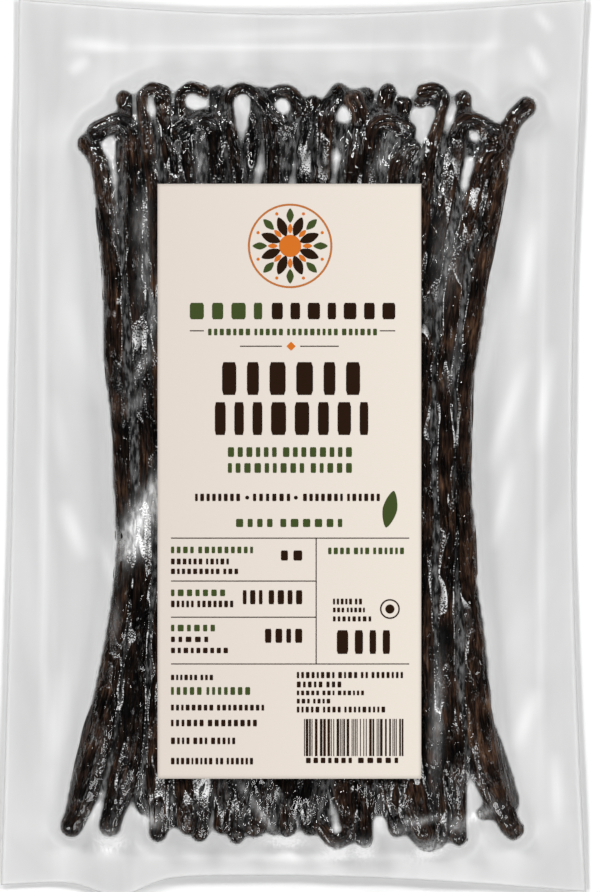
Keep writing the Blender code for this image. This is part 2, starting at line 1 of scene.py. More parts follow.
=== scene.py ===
import math
import bpy
import numpy as np
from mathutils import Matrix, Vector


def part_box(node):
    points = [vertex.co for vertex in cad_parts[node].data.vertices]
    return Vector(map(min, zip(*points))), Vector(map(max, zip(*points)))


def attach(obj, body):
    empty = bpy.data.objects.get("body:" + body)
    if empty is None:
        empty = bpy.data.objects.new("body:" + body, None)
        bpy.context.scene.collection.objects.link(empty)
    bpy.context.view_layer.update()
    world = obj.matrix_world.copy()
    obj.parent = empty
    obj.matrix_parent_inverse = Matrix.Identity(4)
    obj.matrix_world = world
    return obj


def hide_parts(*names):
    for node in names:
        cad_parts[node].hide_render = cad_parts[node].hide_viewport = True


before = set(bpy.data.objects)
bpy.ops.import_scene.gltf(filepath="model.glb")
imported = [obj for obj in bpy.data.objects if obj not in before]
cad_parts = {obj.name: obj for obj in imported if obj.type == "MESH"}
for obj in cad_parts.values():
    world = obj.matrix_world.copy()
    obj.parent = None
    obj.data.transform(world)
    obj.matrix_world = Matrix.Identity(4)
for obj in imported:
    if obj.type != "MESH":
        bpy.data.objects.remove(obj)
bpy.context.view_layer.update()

# Clear welded pouch of vanilla pods with a paper label, lying on its back.
# X runs across the pack, +Y to its top edge, +Z up out of the labelled front.
# Sizes are in millimetres until a mesh is made, then mm turns them to metres.
mm = 0.001
labelLow, labelHigh = (np.array(corner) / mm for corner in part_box("label"))


def report(stage):
    print("scene:", stage)


# Small helpers: meshes from arrays, colours and nodes

def newPiece(name, points, faces, material, smooth=True):
    # points in millimetres, faces as rows of indexes; the object stays at the origin
    mesh = bpy.data.meshes.new(name)
    mesh.from_pydata((np.asarray(points) * mm).tolist(), [], faces)
    mesh.update()
    mesh.polygons.foreach_set("use_smooth", [smooth] * len(mesh.polygons))
    mesh.materials.append(material)
    piece = bpy.data.objects.new(name, mesh)
    bpy.context.scene.collection.objects.link(piece)
    return piece


def addAttribute(piece, name, values, kind="FLOAT"):
    layer = piece.data.attributes.new(name, kind, "POINT")
    key = "vector" if kind == "FLOAT_VECTOR" else "value"
    layer.data.foreach_set(key, np.asarray(values, np.float32).ravel())


def linearColour(hexText):
    # sRGB hex to the linear values that the shaders take
    parts = np.array([int(hexText[i:i + 2], 16) / 255 for i in (1, 3, 5)])
    linear = np.where(parts <= 0.04045, parts / 12.92, ((parts + 0.055) / 1.055) ** 2.4)
    return (*linear.tolist(), 1.0)


def addNode(tree, kind, links=None, **settings):
    # A node with its settings; links maps an input's name or number to a socket or a value
    node = tree.nodes.new(kind)
    for name, value in settings.items():
        setattr(node, name, value)
    for name, value in (links or {}).items():
        if isinstance(value, bpy.types.NodeSocket):
            tree.links.new(value, node.inputs[name])
        else:
            node.inputs[name].default_value = value
    return node


def newMaterial(name):
    material = bpy.data.materials.new(name)
    material.use_nodes = True
    tree = material.node_tree
    return material, tree, tree.nodes["Principled BSDF"], tree.nodes["Material Output"]


# The camera looks straight down with a long lens, as the photograph does
viewing = {
    "lookAt": (1.35, 0.31, 5.0),    # what the middle of the frame shows, mm
    "distance": 1600.0,             # mm
    "frameHeight": 185.8,           # mm seen at that distance
    "sensor": 24.0,
}


def makeCamera():
    data = bpy.data.cameras.new("camera")
    data.sensor_fit = "VERTICAL"
    data.sensor_height = viewing["sensor"]
    data.sensor_width = viewing["sensor"]
    data.lens = viewing["sensor"] * viewing["distance"] / viewing["frameHeight"]
    camera = bpy.data.objects.new("camera", data)
    x, y, z = viewing["lookAt"]
    camera.location = (x * mm, y * mm, (z + viewing["distance"]) * mm)
    bpy.context.scene.collection.objects.link(camera)
    bpy.context.scene.camera = camera


makeCamera()
report("camera placed")


# Pods: where each one runs. Kinds of crown and foot give turn in degrees, bend radius,
# straight run after the bend, and widths at the bend's start and end against the radius
crownKinds = {
    "blunt": (10.0, 9.0, 0.6, 0.80, 0.90),
    "nod": (32.0, 8.0, 1.8, 0.88, 1.02),
    "cane": (122.0, 2.4, 1.5, 0.54, 0.64),
    "loop": (165.0, 2.9, 2.2, 0.64, 0.80),
    "hook": (142.0, 3.0, 9.5, 0.62, 0.72),
    "bent": (112.0, 2.7, 3.6, 0.84, 1.00),
}
footKinds = {
    "tip": (12.0, 6.0, 0.4, 0.80, 0.78),
    "curl": (150.0, 2.4, 3.0, 0.76, 0.56),
    "crook": (104.0, 2.4, 4.0, 0.76, 0.76),
}
# Each pod: kind of crown, the side it turns to, crown x and y; kind of foot, the side it
# turns to, foot x and y; width factor
frontRow = (
    ("nod", -1, -43.0, 65.4, "tip", -1, -46.3, -81.3, 1.32),
    ("bent", -1, -36.2, 69.7, "tip", 1, -38.2, -81.3, 1.20),
    ("cane", 1, -29.2, 76.0, "tip", -1, -28.2, -82.2, 1.06),
    ("blunt", 1, -27.2, 74.5, "tip", 1, -22.0, -80.7, 1.00),
    ("cane", 1, -21.2, 76.0, "tip", 1, -19.6, -82.2, 1.02),
    ("bent", -1, -18.8, 69.3, "tip", -1, -14.7, -80.5, 1.00),
    ("hook", 1, -10.4, 76.0, "tip", 1, -12.0, -82.6, 1.00),
    ("loop", 1, -2.4, 75.7, "tip", -1, -8.0, -81.3, 1.12),
    ("blunt", 1, 4.1, 73.4, "tip", 1, -1.1, -81.1, 0.96),
    ("nod", 1, 9.6, 76.0, "tip", 1, 3.4, -80.9, 1.04),
    ("nod", -1, 12.6, 74.4, "curl", -1, 9.1, -83.6, 1.00),
    ("bent", 1, 19.1, 69.5, "tip", -1, 14.7, -83.4, 0.98),
    ("nod", 1, 24.3, 64.4, "tip", 1, 21.6, -81.3, 1.00),
    ("cane", -1, 28.9, 76.0, "tip", 1, 27.2, -82.2, 1.12),
    ("bent", 1, 37.2, 69.9, "curl", -1, 28.4, -84.3, 1.06),
    ("nod", 1, 42.6, 65.0, "tip", 1, 34.3, -83.0, 1.04),
    ("nod", 1, 48.4, 73.2, "tip", 1, 45.9, -82.0, 1.28),
)
middleRow = (
    ("blunt", -1, -35.3, 74.5, "tip", -1, -36.6, -75.0, 1.00),
    ("bent", 1, -27.0, 68.9, "tip", -1, -30.1, -76.3, 0.92),
    ("blunt", -1, -18.9, 70.5, "tip", 1, -24.5, -79.3, 0.96),
    ("blunt", 1, -15.7, 75.5, "crook", 1, -18.4, -75.9, 0.98),
    ("blunt", 1, -6.6, 75.3, "tip", 1, -10.7, -79.8, 1.06),
    ("blunt", -1, 0.7, 71.1, "tip", -1, -4.1, -80.9, 0.98),
    ("blunt", 1, 6.4, 66.9, "crook", -1, -0.7, -75.1, 0.98),
    ("blunt", -1, 15.9, 75.2, "tip", 1, 6.6, -80.1, 1.04),
    ("blunt", 1, 18.4, 76.0, "tip", -1, 11.8, -80.7, 1.00),
    ("blunt", -1, 22.9, 73.2, "tip", 1, 17.0, -76.4, 0.96),
    ("cane", -1, 28.4, 73.4, "crook", 1, 19.1, -77.2, 1.00),
    ("blunt", 1, 30.8, 65.6, "tip", 1, 24.3, -78.0, 0.98),
    ("blunt", -1, 35.4, 74.5, "tip", -1, 29.3, -77.2, 1.00),
    ("blunt", 1, 41.0, 66.4, "crook", -1, 38.4, -78.4, 1.00),
)
packing = {
    "radius": 2.08, "mostWidthAtCrown": 1.10, "flatness": 0.97,
    "waistY": -12.0, "waistHalfWidths": (35.5, 33.8, 33.6),
    "waistCrowding": (1.0, 0.8, 0.45),    # below one, a row crowds towards its sides
    "powersTop": (2.0, 2.5), "powerFoot": 2.9, "bendReach": 1.2,
    "height": 11.4, "lostAtSides": 3.0, "lostAtEnds": 1.7,
    "halfWidth": 47.0, "halfLength": 78.0, "middleY": -3.0, "fallLimit": 1.1, "floor": 0.15,
    "tipLength": 0.035, "fullestGains": (1.18, 1.05, 1.0), "fullest": (0.09, 0.15),
    "waist": (0.17, 0.50, 0.24),
    "neckStart": 0.66, "neckPower": 1.5,
    "waveSeed": 5, "longWave": (1.1, 56.0, 92.0), "shortWave": (0.75, 21.0, 34.0),
    "waveFade": 6, "frontLift": 1.1,
    "backCount": 12, "backSeed": 11, "backTop": 36.0, "backFoot": 31.0, "backUneven": 1.5,
    "backWidths": (0.88, 0.96), "backCrownY": (64.0, 72.0), "backFootY": (-78.0, -70.0),
    "rowHeights": (9.2, 5.6, 2.2),
    "stationStep": 3.0, "stationLow": -85.0, "stationHigh": 77.0, "settlePasses": 240,
    "shaftContact": 0.98, "push": 0.35, "holdAcross": 0.15, "holdHeight": 0.02,
    "linePasses": 6, "aimPasses": 3, "crownZoneY": 50.0, "footZoneY": -63.0, "zoneBlendRows": 7,
    "partPasses": 60, "partContact": 0.96, "partPush": 0.3, "headroom": 0.6,
    "shaftSamples": 110, "endSamples": 16,
}
endSamples = packing["endSamples"]


def backRow():
    # crowns and feet in even steps, each moved a little by the seeded draw
    draw = np.random.default_rng(packing["backSeed"])
    count, uneven = packing["backCount"], packing["backUneven"]
    kinds = draw.choice(["blunt", "blunt", "bent"], count)
    sides = draw.choice([-1, 1], count)
    crownX = np.linspace(-packing["backTop"], packing["backTop"], count)
    footX = np.linspace(-packing["backFoot"], packing["backFoot"], count)
    crownX = crownX + draw.uniform(-uneven, uneven, count)
    footX = footX + draw.uniform(-uneven, uneven, count)
    crownY = draw.uniform(*packing["backCrownY"], count)
    footY = draw.uniform(*packing["backFootY"], count)
    widths = draw.uniform(*packing["backWidths"], count)
    return tuple(zip(kinds, sides, crownX, crownY, ["tip"] * count, sides, footX, footY, widths))


class Ends:
    # one end of every pod: the arc that its centre line ends in, and the widths along it
    def __init__(self, kinds, sides, x, y, radius):
        turn, bend, run, first, last = (np.array(column) for column in zip(*kinds))
        self.turn = np.radians(turn) * np.array(sides, float)
        self.bend, self.run, self.first, self.last = bend, run, first, last
        self.x, self.y = np.array(x, float), np.array(y, float)
        over = turn > 90.0
        rise = bend * np.where(over, 1.0, np.sin(np.radians(turn))) + np.where(over, 0.0, run)
        reach = bend * np.where(over, 1.0, 1.0 - np.cos(np.radians(turn)))
        self.rise = rise + radius * np.where(over, first, last)
        self.reach = np.array(sides, float) * reach

    def arc(self, x, y, heading):
        # the heading turns evenly along the bend and then keeps straight
        bent = np.abs(self.turn) * self.bend
        length = bent + self.run
        way = (np.arange(1, endSamples + 1) / endSamples)[:, None] * length
        direction = heading - self.turn * np.clip((way - length / (2 * endSamples)) / bent, 0, 1)
        step = length / endSamples
        widths = self.first + (self.last - self.first) * (way / length) ** 2
        return (x + np.cumsum(np.cos(direction) * step, axis=0),
                y + np.cumsum(np.sin(direction) * step, axis=0), widths)


def crowded(count, half, power):
    # even steps from side to side, raised to a power
    steps = np.linspace(-1.0, 1.0, count)
    return half * np.sign(steps) * np.abs(steps) ** power


class Pods:
    # columns of numbers, one place for each pod, front row first
    def __init__(self):
        rows = (frontRow, middleRow, backRow())
        every = [pod for row in rows for pod in row]
        crown, crownSide, crownX, crownY, foot, footSide, footX, footY, width = zip(*every)
        self.count = len(every)
        self.swell = np.array(width)
        self.radius = packing["radius"] * np.minimum(self.swell, packing["mostWidthAtCrown"])
        self.crown = Ends([crownKinds[kind] for kind in crown], crownSide, crownX, crownY,
                          self.radius)
        self.foot = Ends([footKinds[kind] for kind in foot], footSide, footX, footY, self.radius)
        self.foot.turn = -self.foot.turn
        self.neckX, self.neckY = self.crown.x - self.crown.reach, self.crown.y - self.crown.rise
        self.heelX, self.heelY = self.foot.x - self.foot.reach, self.foot.y + self.foot.rise
        halves = packing["waistHalfWidths"]
        self.waistX = np.concatenate([
            crowded(len(row), half, power)
            for row, half, power in zip(rows, halves, packing["waistCrowding"])])
        self.powerTop = np.interp(self.waistX, (-max(halves), max(halves)), packing["powersTop"])
        self.row = np.repeat(np.arange(len(rows)), [len(row) for row in rows])
        self.gain = np.array(packing["fullestGains"])[self.row]
        self.homeZ = np.array(packing["rowHeights"])[self.row]
        draw = np.random.default_rng(packing["waveSeed"])
        lift = packing["frontLift"]
        self.homeZ[:len(frontRow)] += draw.uniform(-lift, lift, len(frontRow))
        self.waves = [(draw.uniform(0.5, 1.0, self.count) * height,
                       2 * math.pi / draw.uniform(shortest, longest, self.count),
                       draw.uniform(0.0, 2 * math.pi, self.count))
                      for height, shortest, longest in (packing["longWave"], packing["shortWave"])]

    def shaftX(self, y):
        # from the waist each pod bends away to its crown or foot by a power of the distance
        waistY, reach = packing["waistY"], packing["bendReach"]
        up = np.clip((y - waistY) / (self.neckY - waistY), 0.0, reach)
        down = np.clip((y - waistY) / (self.heelY - waistY), 0.0, reach)
        top = (self.neckX - self.waistX) * up ** self.powerTop
        foot = (self.heelX - self.waistX) * down ** packing["powerFoot"]
        fade = 1.0 - np.minimum(up + down, 1.0) ** packing["waveFade"]
        wave = sum(height * np.sin(rate * y + phase) for height, rate, phase in self.waves)
        return self.waistX + top + foot + fade * wave

    def shaftRadius(self, y):
        # narrow at the heel, fullest a little above it, then thinning slowly to the neck
        part = np.clip((y - self.heelY) / (self.neckY - self.heelY), 0.0, 1.0)
        place, spread = packing["fullest"]
        full = 1.0 + (self.swell * self.gain - 1.0) * np.exp(-((part - place) / spread) ** 2)
        tip = 1.0 - (1.0 - self.foot.first) * np.exp(-(part / packing["tipLength"]) ** 2)
        loss, place, spread = packing["waist"]
        waist = 1.0 - loss * np.exp(-((part - place) / spread) ** 2)
        up = np.clip((part - packing["neckStart"]) / (1.0 - packing["neckStart"]), 0.0, 1.0)
        neck = 1.0 - (1.0 - self.crown.first) * up ** packing["neckPower"]
        return self.radius * full * tip * waist * neck


def ceiling(x, y):
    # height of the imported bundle: highest in the middle, lower at its sides and ends
    limit = packing["fallLimit"]
    across = np.clip(np.abs(x) / packing["halfWidth"], 0.0, limit)
    along = np.clip(np.abs(y - packing["middleY"]) / packing["halfLength"], 0.0, limit)
    return packing["height"] - packing["lostAtSides"] * across ** 3 - packing["lostAtEnds"] * along ** 4


def settleShafts(pods):
    # at each station along Y the pods are circles that push each other apart in the film
    y = np.arange(packing["stationLow"], packing["stationHigh"], packing["stationStep"])[:, None]
    target, radius, step = pods.shaftX(y), pods.shaftRadius(y), packing["stationStep"]
    present = (y > pods.heelY - step) & (y < pods.neckY + step)
    place = np.stack([target, np.broadcast_to(pods.homeZ, target.shape)], axis=2)
    reach = packing["shaftContact"] * (radius[:, :, None] + radius[:, None, :])
    meet = present[:, :, None] & present[:, None, :] & ~np.eye(pods.count, dtype=bool)
    for _ in range(packing["settlePasses"]):
        apart = place[:, :, None, :] - place[:, None, :, :]
        distance = np.sqrt((apart ** 2).sum(axis=3)) + 1e-6
        overlap = np.where(meet, np.maximum(reach - distance, 0.0), 0.0)
        place = place + packing["push"] * (apart * (overlap / distance)[..., None]).sum(axis=2)
        place[:, :, 0] += packing["holdAcross"] * (target - place[:, :, 0])
        place[:, :, 1] += packing["holdHeight"] * (pods.homeZ - place[:, :, 1])
        place[1:-1] = 0.5 * place[1:-1] + 0.25 * (place[:-2] + place[2:])
        top = ceiling(place[:, :, 0], y) - radius
        place[:, :, 1] = np.clip(place[:, :, 1], radius + packing["floor"], top)
    return y[:, 0], place


def centreLines(pods):
    # each pod's centre line and radius from its foot's end: arc, settled shaft, crown's arc
    stations, place = settleShafts(pods)
    y = pods.heelY + np.linspace(0, 1, packing["shaftSamples"])[:, None] * (pods.neckY - pods.heelY)
    x, z = (np.stack([np.interp(y[:, i], stations, place[:, i, axis])
                      for i in range(pods.count)], axis=1) for axis in (0, 1))
    for _ in range(packing["linePasses"]):
        x[1:-1] = 0.5 * x[1:-1] + 0.25 * (x[:-2] + x[2:])
        z[1:-1] = 0.5 * z[1:-1] + 0.25 * (z[:-2] + z[2:])
    radius = pods.shaftRadius(y)
    up = np.arctan2(y[-1] - y[-4], x[-1] - x[-4])
    down = np.arctan2(y[0] - y[3], x[0] - x[3])
    crownX, crownY, crownWidth = pods.crown.arc(x[-1], y[-1], up)
    footX, footY, footWidth = pods.foot.arc(x[0], y[0], down)
    flat = np.ones((endSamples, 1))
    lines = np.stack([np.concatenate([footX[::-1], x, crownX]),
                      np.concatenate([footY[::-1], y, crownY]),
                      np.concatenate([flat * z[0], z, flat * z[-1]])], axis=2)
    footRadius = radius[0] * footWidth[::-1] / pods.foot.first
    return lines, np.concatenate([footRadius, radius, pods.radius * crownWidth])


def aimedLines(pods):
    # neck and heel move until the crown's highest point and the foot's lowest one stand
    # where the table puts them
    each = np.arange(pods.count)
    for _ in range(packing["aimPasses"]):
        lines, radius = centreLines(pods)
        top = lines[-endSamples:, :, 1] + radius[-endSamples:]
        low = lines[:endSamples, :, 1] - radius[:endSamples]
        highest, lowest = top.argmax(axis=0), low.argmin(axis=0)
        pods.neckX = pods.neckX + pods.crown.x - lines[-endSamples:, :, 0][highest, each]
        pods.neckY = pods.neckY + pods.crown.y - top[highest, each]
        pods.heelX = pods.heelX + pods.foot.x - lines[:endSamples, :, 0][lowest, each]
        pods.heelY = pods.heelY + pods.foot.y - low[lowest, each]
    return centreLines(pods)


def partZone(pods, points, radius, zone, steps):
    # pods that cross in the zone move apart in height alone, front over middle over back;
    # the steps count its rows from the inner end, where the move begins gently
    part, size = points[zone], radius[zone]
    rows, count = size.shape
    owner, row = np.tile(np.arange(count), rows), np.tile(pods.row, rows)
    flatXy, flatRadius = part[:, :, :2].reshape(-1, 2), size.reshape(-1)
    across = ((flatXy[:, None, :] - flatXy[None, :, :]) ** 2).sum(axis=2)
    reach = (packing["partContact"] * (flatRadius[:, None] + flatRadius[None, :])) ** 2
    meet = (across < reach) & (owner[:, None] != owner[None, :])
    need = np.sqrt(np.where(meet, reach - across, 0.0))
    order = np.sign(row[None, :] - row[:, None])
    height = part[:, :, 2].reshape(-1).copy()
    top = ceiling(flatXy[:, 0], flatXy[:, 1]) - flatRadius + packing["headroom"]
    for _ in range(packing["partPasses"]):
        gap = height[:, None] - height[None, :]
        sign = np.where(order != 0, order, np.where(gap >= 0.0, 1.0, -1.0))
        short = np.where(meet, np.maximum(need - sign * gap, 0.0), 0.0) * sign
        height = height + packing["partPush"] * (short.max(axis=1) + short.min(axis=1))
        lines = np.clip(height, flatRadius + packing["floor"], top).reshape(rows, count)
        lines[1:-1] = 0.4 * lines[1:-1] + 0.3 * (lines[:-2] + lines[2:])
        height = lines.reshape(-1)
    share = np.clip(steps / packing["zoneBlendRows"], 0.0, 1.0)[:, None]
    points[zone, :, 2] = share * height.reshape(rows, count) + (1.0 - share) * part[:, :, 2]


pods = Pods()
linePoints, lineRadius = aimedLines(pods)
crownZone = np.where(linePoints[:-endSamples, 0, 1] > packing["crownZoneY"])[0][0]
footZone = endSamples + np.where(linePoints[endSamples:, 0, 1] > packing["footZoneY"])[0][0]
partZone(pods, linePoints, lineRadius, slice(crownZone, None), np.arange(len(linePoints) - crownZone))
partZone(pods, linePoints, lineRadius, slice(0, footZone), np.arange(footZone)[::-1])
report("pods settled against each other")


# Pod skin: ridges and folds along each pod, on a grid of rings and sides
skin = {
    "front": (162, 34), "middle": (160, 32), "back": (120, 26),    # rings, sides
    "endRingShare": 0.10, "capRings": 5, "seed": 23, "lowest": 0.04,
    "ridges": ((5, 0.050), (7, 0.070), (9, 0.060), (13, 0.035)),   # how many round, depth
    "lumps": ((1.3, 0.018), (2.4, 0.030), (5.3, 0.035), (8.7, 0.035)),  # length mm, depth
    "ridgeDrift": (0.4, 1.1), "driftLength": (9.0, 22.0), "swellLength": (4.0, 9.0),
    "smoothPasses": 3, "patternApart": 40.0,    # mm between the pods' patterns
    # shades of brown from the darkest: place on the ramp, colour
    "shades": ((0.20, "#020101"), (0.28, "#150d08"), (0.37, "#34231a"), (0.50, "#5c4331")),
    "toneDrawn": 0.6, "toneOuter": 0.4, "tonePower": 6, "toneShare": 0.12,
    "stem": (0.86, 0.97, 0.10), "middleTone": 0.35, "roughness": (0.30, 0.55),
    "wrinkleScale": 2100.0, "foldScale": 720.0, "patchScale": 190.0,
    "wrinkleStretch": 0.13, "foldStretch": 0.25,
    "wrinkleDepth": 0.00045, "foldDepth": 0.0010, "coat": 0.55, "coatRoughness": 0.08,
}


def respaced(points, radius, rings):
    # the centre lines in evenly spaced rings, closer together over both bent ends
    step = np.sqrt((np.diff(points, axis=0) ** 2).sum(axis=2))
    run = np.concatenate([np.zeros((1, points.shape[1])), np.cumsum(step, axis=0)])
    ends = int(rings * skin["endRingShare"])
    heel, neck = run[endSamples], run[-1 - endSamples]
    share = np.linspace(0, 1, rings - 2 * ends)[:, None]
    small = (np.arange(ends) / ends)[:, None]
    places = np.concatenate([small * heel, heel + share * (neck - heel),
                             neck + (small + 1 / ends) * (run[-1] - neck)])
    count = points.shape[1]
    fine = np.stack([np.stack([np.interp(places[:, i], run[:, i], points[:, i, axis])
                               for i in range(count)], axis=1) for axis in range(3)], axis=2)
    size = np.stack([np.interp(places[:, i], run[:, i], radius[:, i])
                     for i in range(count)], axis=1)
    for _ in range(skin["smoothPasses"]):
        fine[1:-1] = 0.5 * fine[1:-1] + 0.25 * (fine[:-2] + fine[2:])
        size[1:-1] = 0.5 * size[1:-1] + 0.25 * (size[:-2] + size[2:])
    return fine, size, places


def podRow(name, chosen, rings, sides, material, draw):
    # Ring k, side j: the centre line plus the radius times the cosine of the side's angle
    # sideways and its sine upwards. The radius carries lengthwise ridges, whose angle drifts
    # along the pod, and slow lumps. Both ends close in a half ball and a pole.
    centre, radius, run = respaced(linePoints[:, chosen], lineRadius[:, chosen], rings)
    count = centre.shape[1]
    tangent = np.gradient(centre, axis=0)
    tangent /= np.linalg.norm(tangent, axis=2, keepdims=True)
    cap = np.linspace(0.5 * math.pi, 0.0, skin["capRings"], endpoint=False)[1:]
    foot = centre[0] - tangent[0] * (radius[0] * np.sin(cap)[:, None])[..., None]
    tip = centre[-1] + tangent[-1] * (radius[-1] * np.sin(cap[::-1])[:, None])[..., None]
    ends = len(cap)
    centre = np.concatenate([foot, centre, tip])
    tangent = np.concatenate([np.repeat(tangent[:1], ends, 0), tangent,
                              np.repeat(tangent[-1:], ends, 0)])
    size = np.concatenate([radius[0] * np.cos(cap)[:, None], radius,
                           radius[-1] * np.cos(cap[::-1])[:, None]])
    run = np.concatenate([run[0] - radius[0] * np.sin(cap)[:, None], run,
                          run[-1] + radius[-1] * np.sin(cap[::-1])[:, None]])
    total = run[-1] - run[0]
    sideways = np.cross(tangent, (0.0, 0.0, 1.0))
    sideways /= np.linalg.norm(sideways, axis=2, keepdims=True)
    upward = np.cross(sideways, tangent)
    angle = np.linspace(0, 2 * math.pi, sides, endpoint=False)[None, None, :]
    along = run[:, :, None]
    relief = np.zeros((len(run), count, sides))
    for waves, depth in skin["ridges"]:
        phase = draw.uniform(0, 2 * math.pi, count)[None, :, None]
        drift = draw.uniform(*skin["ridgeDrift"], count)[None, :, None]
        drift = drift * np.sin(
            along / draw.uniform(*skin["driftLength"], count)[None, :, None] + phase * 3.0)
        swell = 0.6 + 0.4 * np.sin(
            along / draw.uniform(*skin["swellLength"], count)[None, :, None] + phase)
        relief += depth * swell * np.cos(waves * angle + phase + drift)
    for length, depth in skin["lumps"]:
        phase = draw.uniform(0, 2 * math.pi, count)[None, :, None]
        lean = draw.uniform(-1.0, 1.0, count)[None, :, None]
        relief += depth * np.sin(along / length + phase + lean * np.cos(angle + phase))
    outer = np.abs(pods.waistX[chosen]) / max(packing["waistHalfWidths"])
    tone = skin["toneDrawn"] * draw.uniform(0, 1, count)
    tone = tone + skin["toneOuter"] * outer ** skin["tonePower"]
    reach = size[:, :, None] * (1.0 + relief)
    points = (centre[:, :, None, :]
              + sideways[:, :, None, :] * (reach * np.cos(angle))[..., None]
              + upward[:, :, None, :] * (reach * packing["flatness"] * np.sin(angle))[..., None])
    points = points.transpose(1, 0, 2, 3)
    points[..., 2] = np.maximum(points[..., 2], skin["lowest"])    # pressed flat where they rest
    rows = points.shape[1]
    poleFoot = centre[0] - tangent[0] * (radius[0] * (1 - math.sin(cap[0])))[:, None]
    poleTip = centre[-1] + tangent[-1] * (radius[-1] * (1 - math.sin(cap[0])))[:, None]
    poles = np.stack([poleFoot, poleTip], axis=1)
    each = rows * sides + 2
    vertices = np.concatenate([points.reshape(count, -1, 3), poles], axis=1).reshape(-1, 3)
    ring = np.arange(rows * sides).reshape(rows, sides)
    nextSide = np.roll(ring, -1, axis=1)
    quads = np.stack([ring[:-1], nextSide[:-1], nextSide[1:], ring[1:]], axis=2).reshape(-1, 4)
    footFan = np.stack([np.full(sides, rows * sides), nextSide[0], ring[0]], axis=1)
    tipFan = np.stack([np.full(sides, rows * sides + 1), ring[-1], nextSide[-1]], axis=1)
    shift = (np.arange(count) * each)[:, None, None]
    faces = ((quads[None] + shift).reshape(-1, 4).tolist()
             + (footFan[None] + shift).reshape(-1, 3).tolist()
             + (tipFan[None] + shift).reshape(-1, 3).tolist())
    piece = newPiece(name, vertices, faces, material)
    girth = np.broadcast_to(size[:, :, None], (rows, count, sides))
    straight = np.stack([girth * np.cos(angle), girth * np.sin(angle),
                         np.broadcast_to(along, girth.shape)], axis=3)
    straight[..., 0] += skin["patternApart"] * np.arange(count)[None, :, None]
    straight = straight.transpose(1, 0, 2, 3).reshape(count, -1, 3)
    straight = np.concatenate([straight, straight[:, :1], straight[:, -1:]], axis=1)
    addAttribute(piece, "straight", straight * mm, "FLOAT_VECTOR")
    share = np.broadcast_to(((run - run[0]) / total).T[:, :, None], (count, rows, sides))
    share = np.concatenate([share.reshape(count, -1), np.zeros((count, 1)), np.ones((count, 1))], 1)
    addAttribute(piece, "share", share)
    addAttribute(piece, "tone", np.repeat(tone, each))
    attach(piece, "root")


def podSkinMaterial():
    # Cured vanilla pod: skin shrunk in the sun, oily, near black with brown where it is thin.
    # The eye reads fine lengthwise wrinkles, broken glints along them and brown crown stems.
    material, tree, shader, output = newMaterial("curedPodSkin")
    straight = addNode(tree, "ShaderNodeAttribute", attribute_name="straight").outputs["Vector"]
    tone = addNode(tree, "ShaderNodeAttribute", attribute_name="tone").outputs["Fac"]
    share = addNode(tree, "ShaderNodeAttribute", attribute_name="share").outputs["Fac"]
    # wrinkles 0.5 mm apart and 4 mm long, folds 1.4 mm apart, patches of colour 5 mm wide
    stretched = addNode(tree, "ShaderNodeMapping", {
        "Vector": straight, "Scale": (1, 1, skin["wrinkleStretch"])})
    wrinkle = addNode(tree, "ShaderNodeTexNoise", {
        "Vector": stretched.outputs["Vector"], "Scale": skin["wrinkleScale"], "Detail": 2.0,
        "Roughness": 0.55})
    folded = addNode(tree, "ShaderNodeMapping", {
        "Vector": straight, "Scale": (1, 1, skin["foldStretch"])})
    fold = addNode(tree, "ShaderNodeTexNoise", {
        "Vector": folded.outputs["Vector"], "Scale": skin["foldScale"], "Detail": 2.0,
        "Distortion": 0.8})
    patch = addNode(tree, "ShaderNodeTexNoise", {
        "Vector": straight, "Scale": skin["patchScale"], "Detail": 3.0})
    mixed = addNode(tree, "ShaderNodeMath", {0: wrinkle.outputs["Fac"], 1: patch.outputs["Fac"]},
                    operation="MULTIPLY")
    toned = addNode(tree, "ShaderNodeMath", {0: tone, 1: skin["toneShare"], 2: mixed.outputs[0]},
                    operation="MULTIPLY_ADD")
    # crowns turn browner on brown pods and blacker on black ones
    begins, full, amount = skin["stem"]
    stem = addNode(tree, "ShaderNodeMapRange", {
        "Value": share, "From Min": begins, "From Max": full, "To Min": 0.0, "To Max": amount})
    browner = addNode(tree, "ShaderNodeMath", {0: tone, 1: skin["middleTone"]}, operation="SUBTRACT")
    raised = addNode(tree, "ShaderNodeMath", {
        0: stem.outputs["Result"], 1: browner.outputs[0], 2: toned.outputs[0]},
        operation="MULTIPLY_ADD")
    ramp = addNode(tree, "ShaderNodeValToRGB", {"Fac": raised.outputs[0]})
    shades = ramp.color_ramp.elements
    while len(shades) < len(skin["shades"]):
        shades.new(0.5)
    for shade, (place, hexText) in zip(shades, skin["shades"]):
        shade.position = place
        shade.color = linearColour(hexText)
    tree.links.new(ramp.outputs["Color"], shader.inputs["Base Color"])
    oiliest, driest = skin["roughness"]
    wet = addNode(tree, "ShaderNodeMapRange", {
        "Value": fold.outputs["Fac"], "From Min": 0.3, "From Max": 0.7, "To Min": oiliest,
        "To Max": driest})
    tree.links.new(wet.outputs["Result"], shader.inputs["Roughness"])
    shader.inputs["Specular IOR Level"].default_value = 0.05
    shader.inputs["Coat Weight"].default_value = skin["coat"]
    shader.inputs["Coat Roughness"].default_value = skin["coatRoughness"]
    coarse = addNode(tree, "ShaderNodeBump", {
        "Height": fold.outputs["Fac"], "Strength": 1.0, "Distance": skin["foldDepth"]})
    fine = addNode(tree, "ShaderNodeBump", {
        "Height": wrinkle.outputs["Fac"], "Normal": coarse.outputs["Normal"],
        "Strength": 1.0, "Distance": skin["wrinkleDepth"]})
    tree.links.new(fine.outputs["Normal"], shader.inputs["Normal"])
    tree.links.new(fine.outputs["Normal"], shader.inputs["Coat Normal"])
    return material


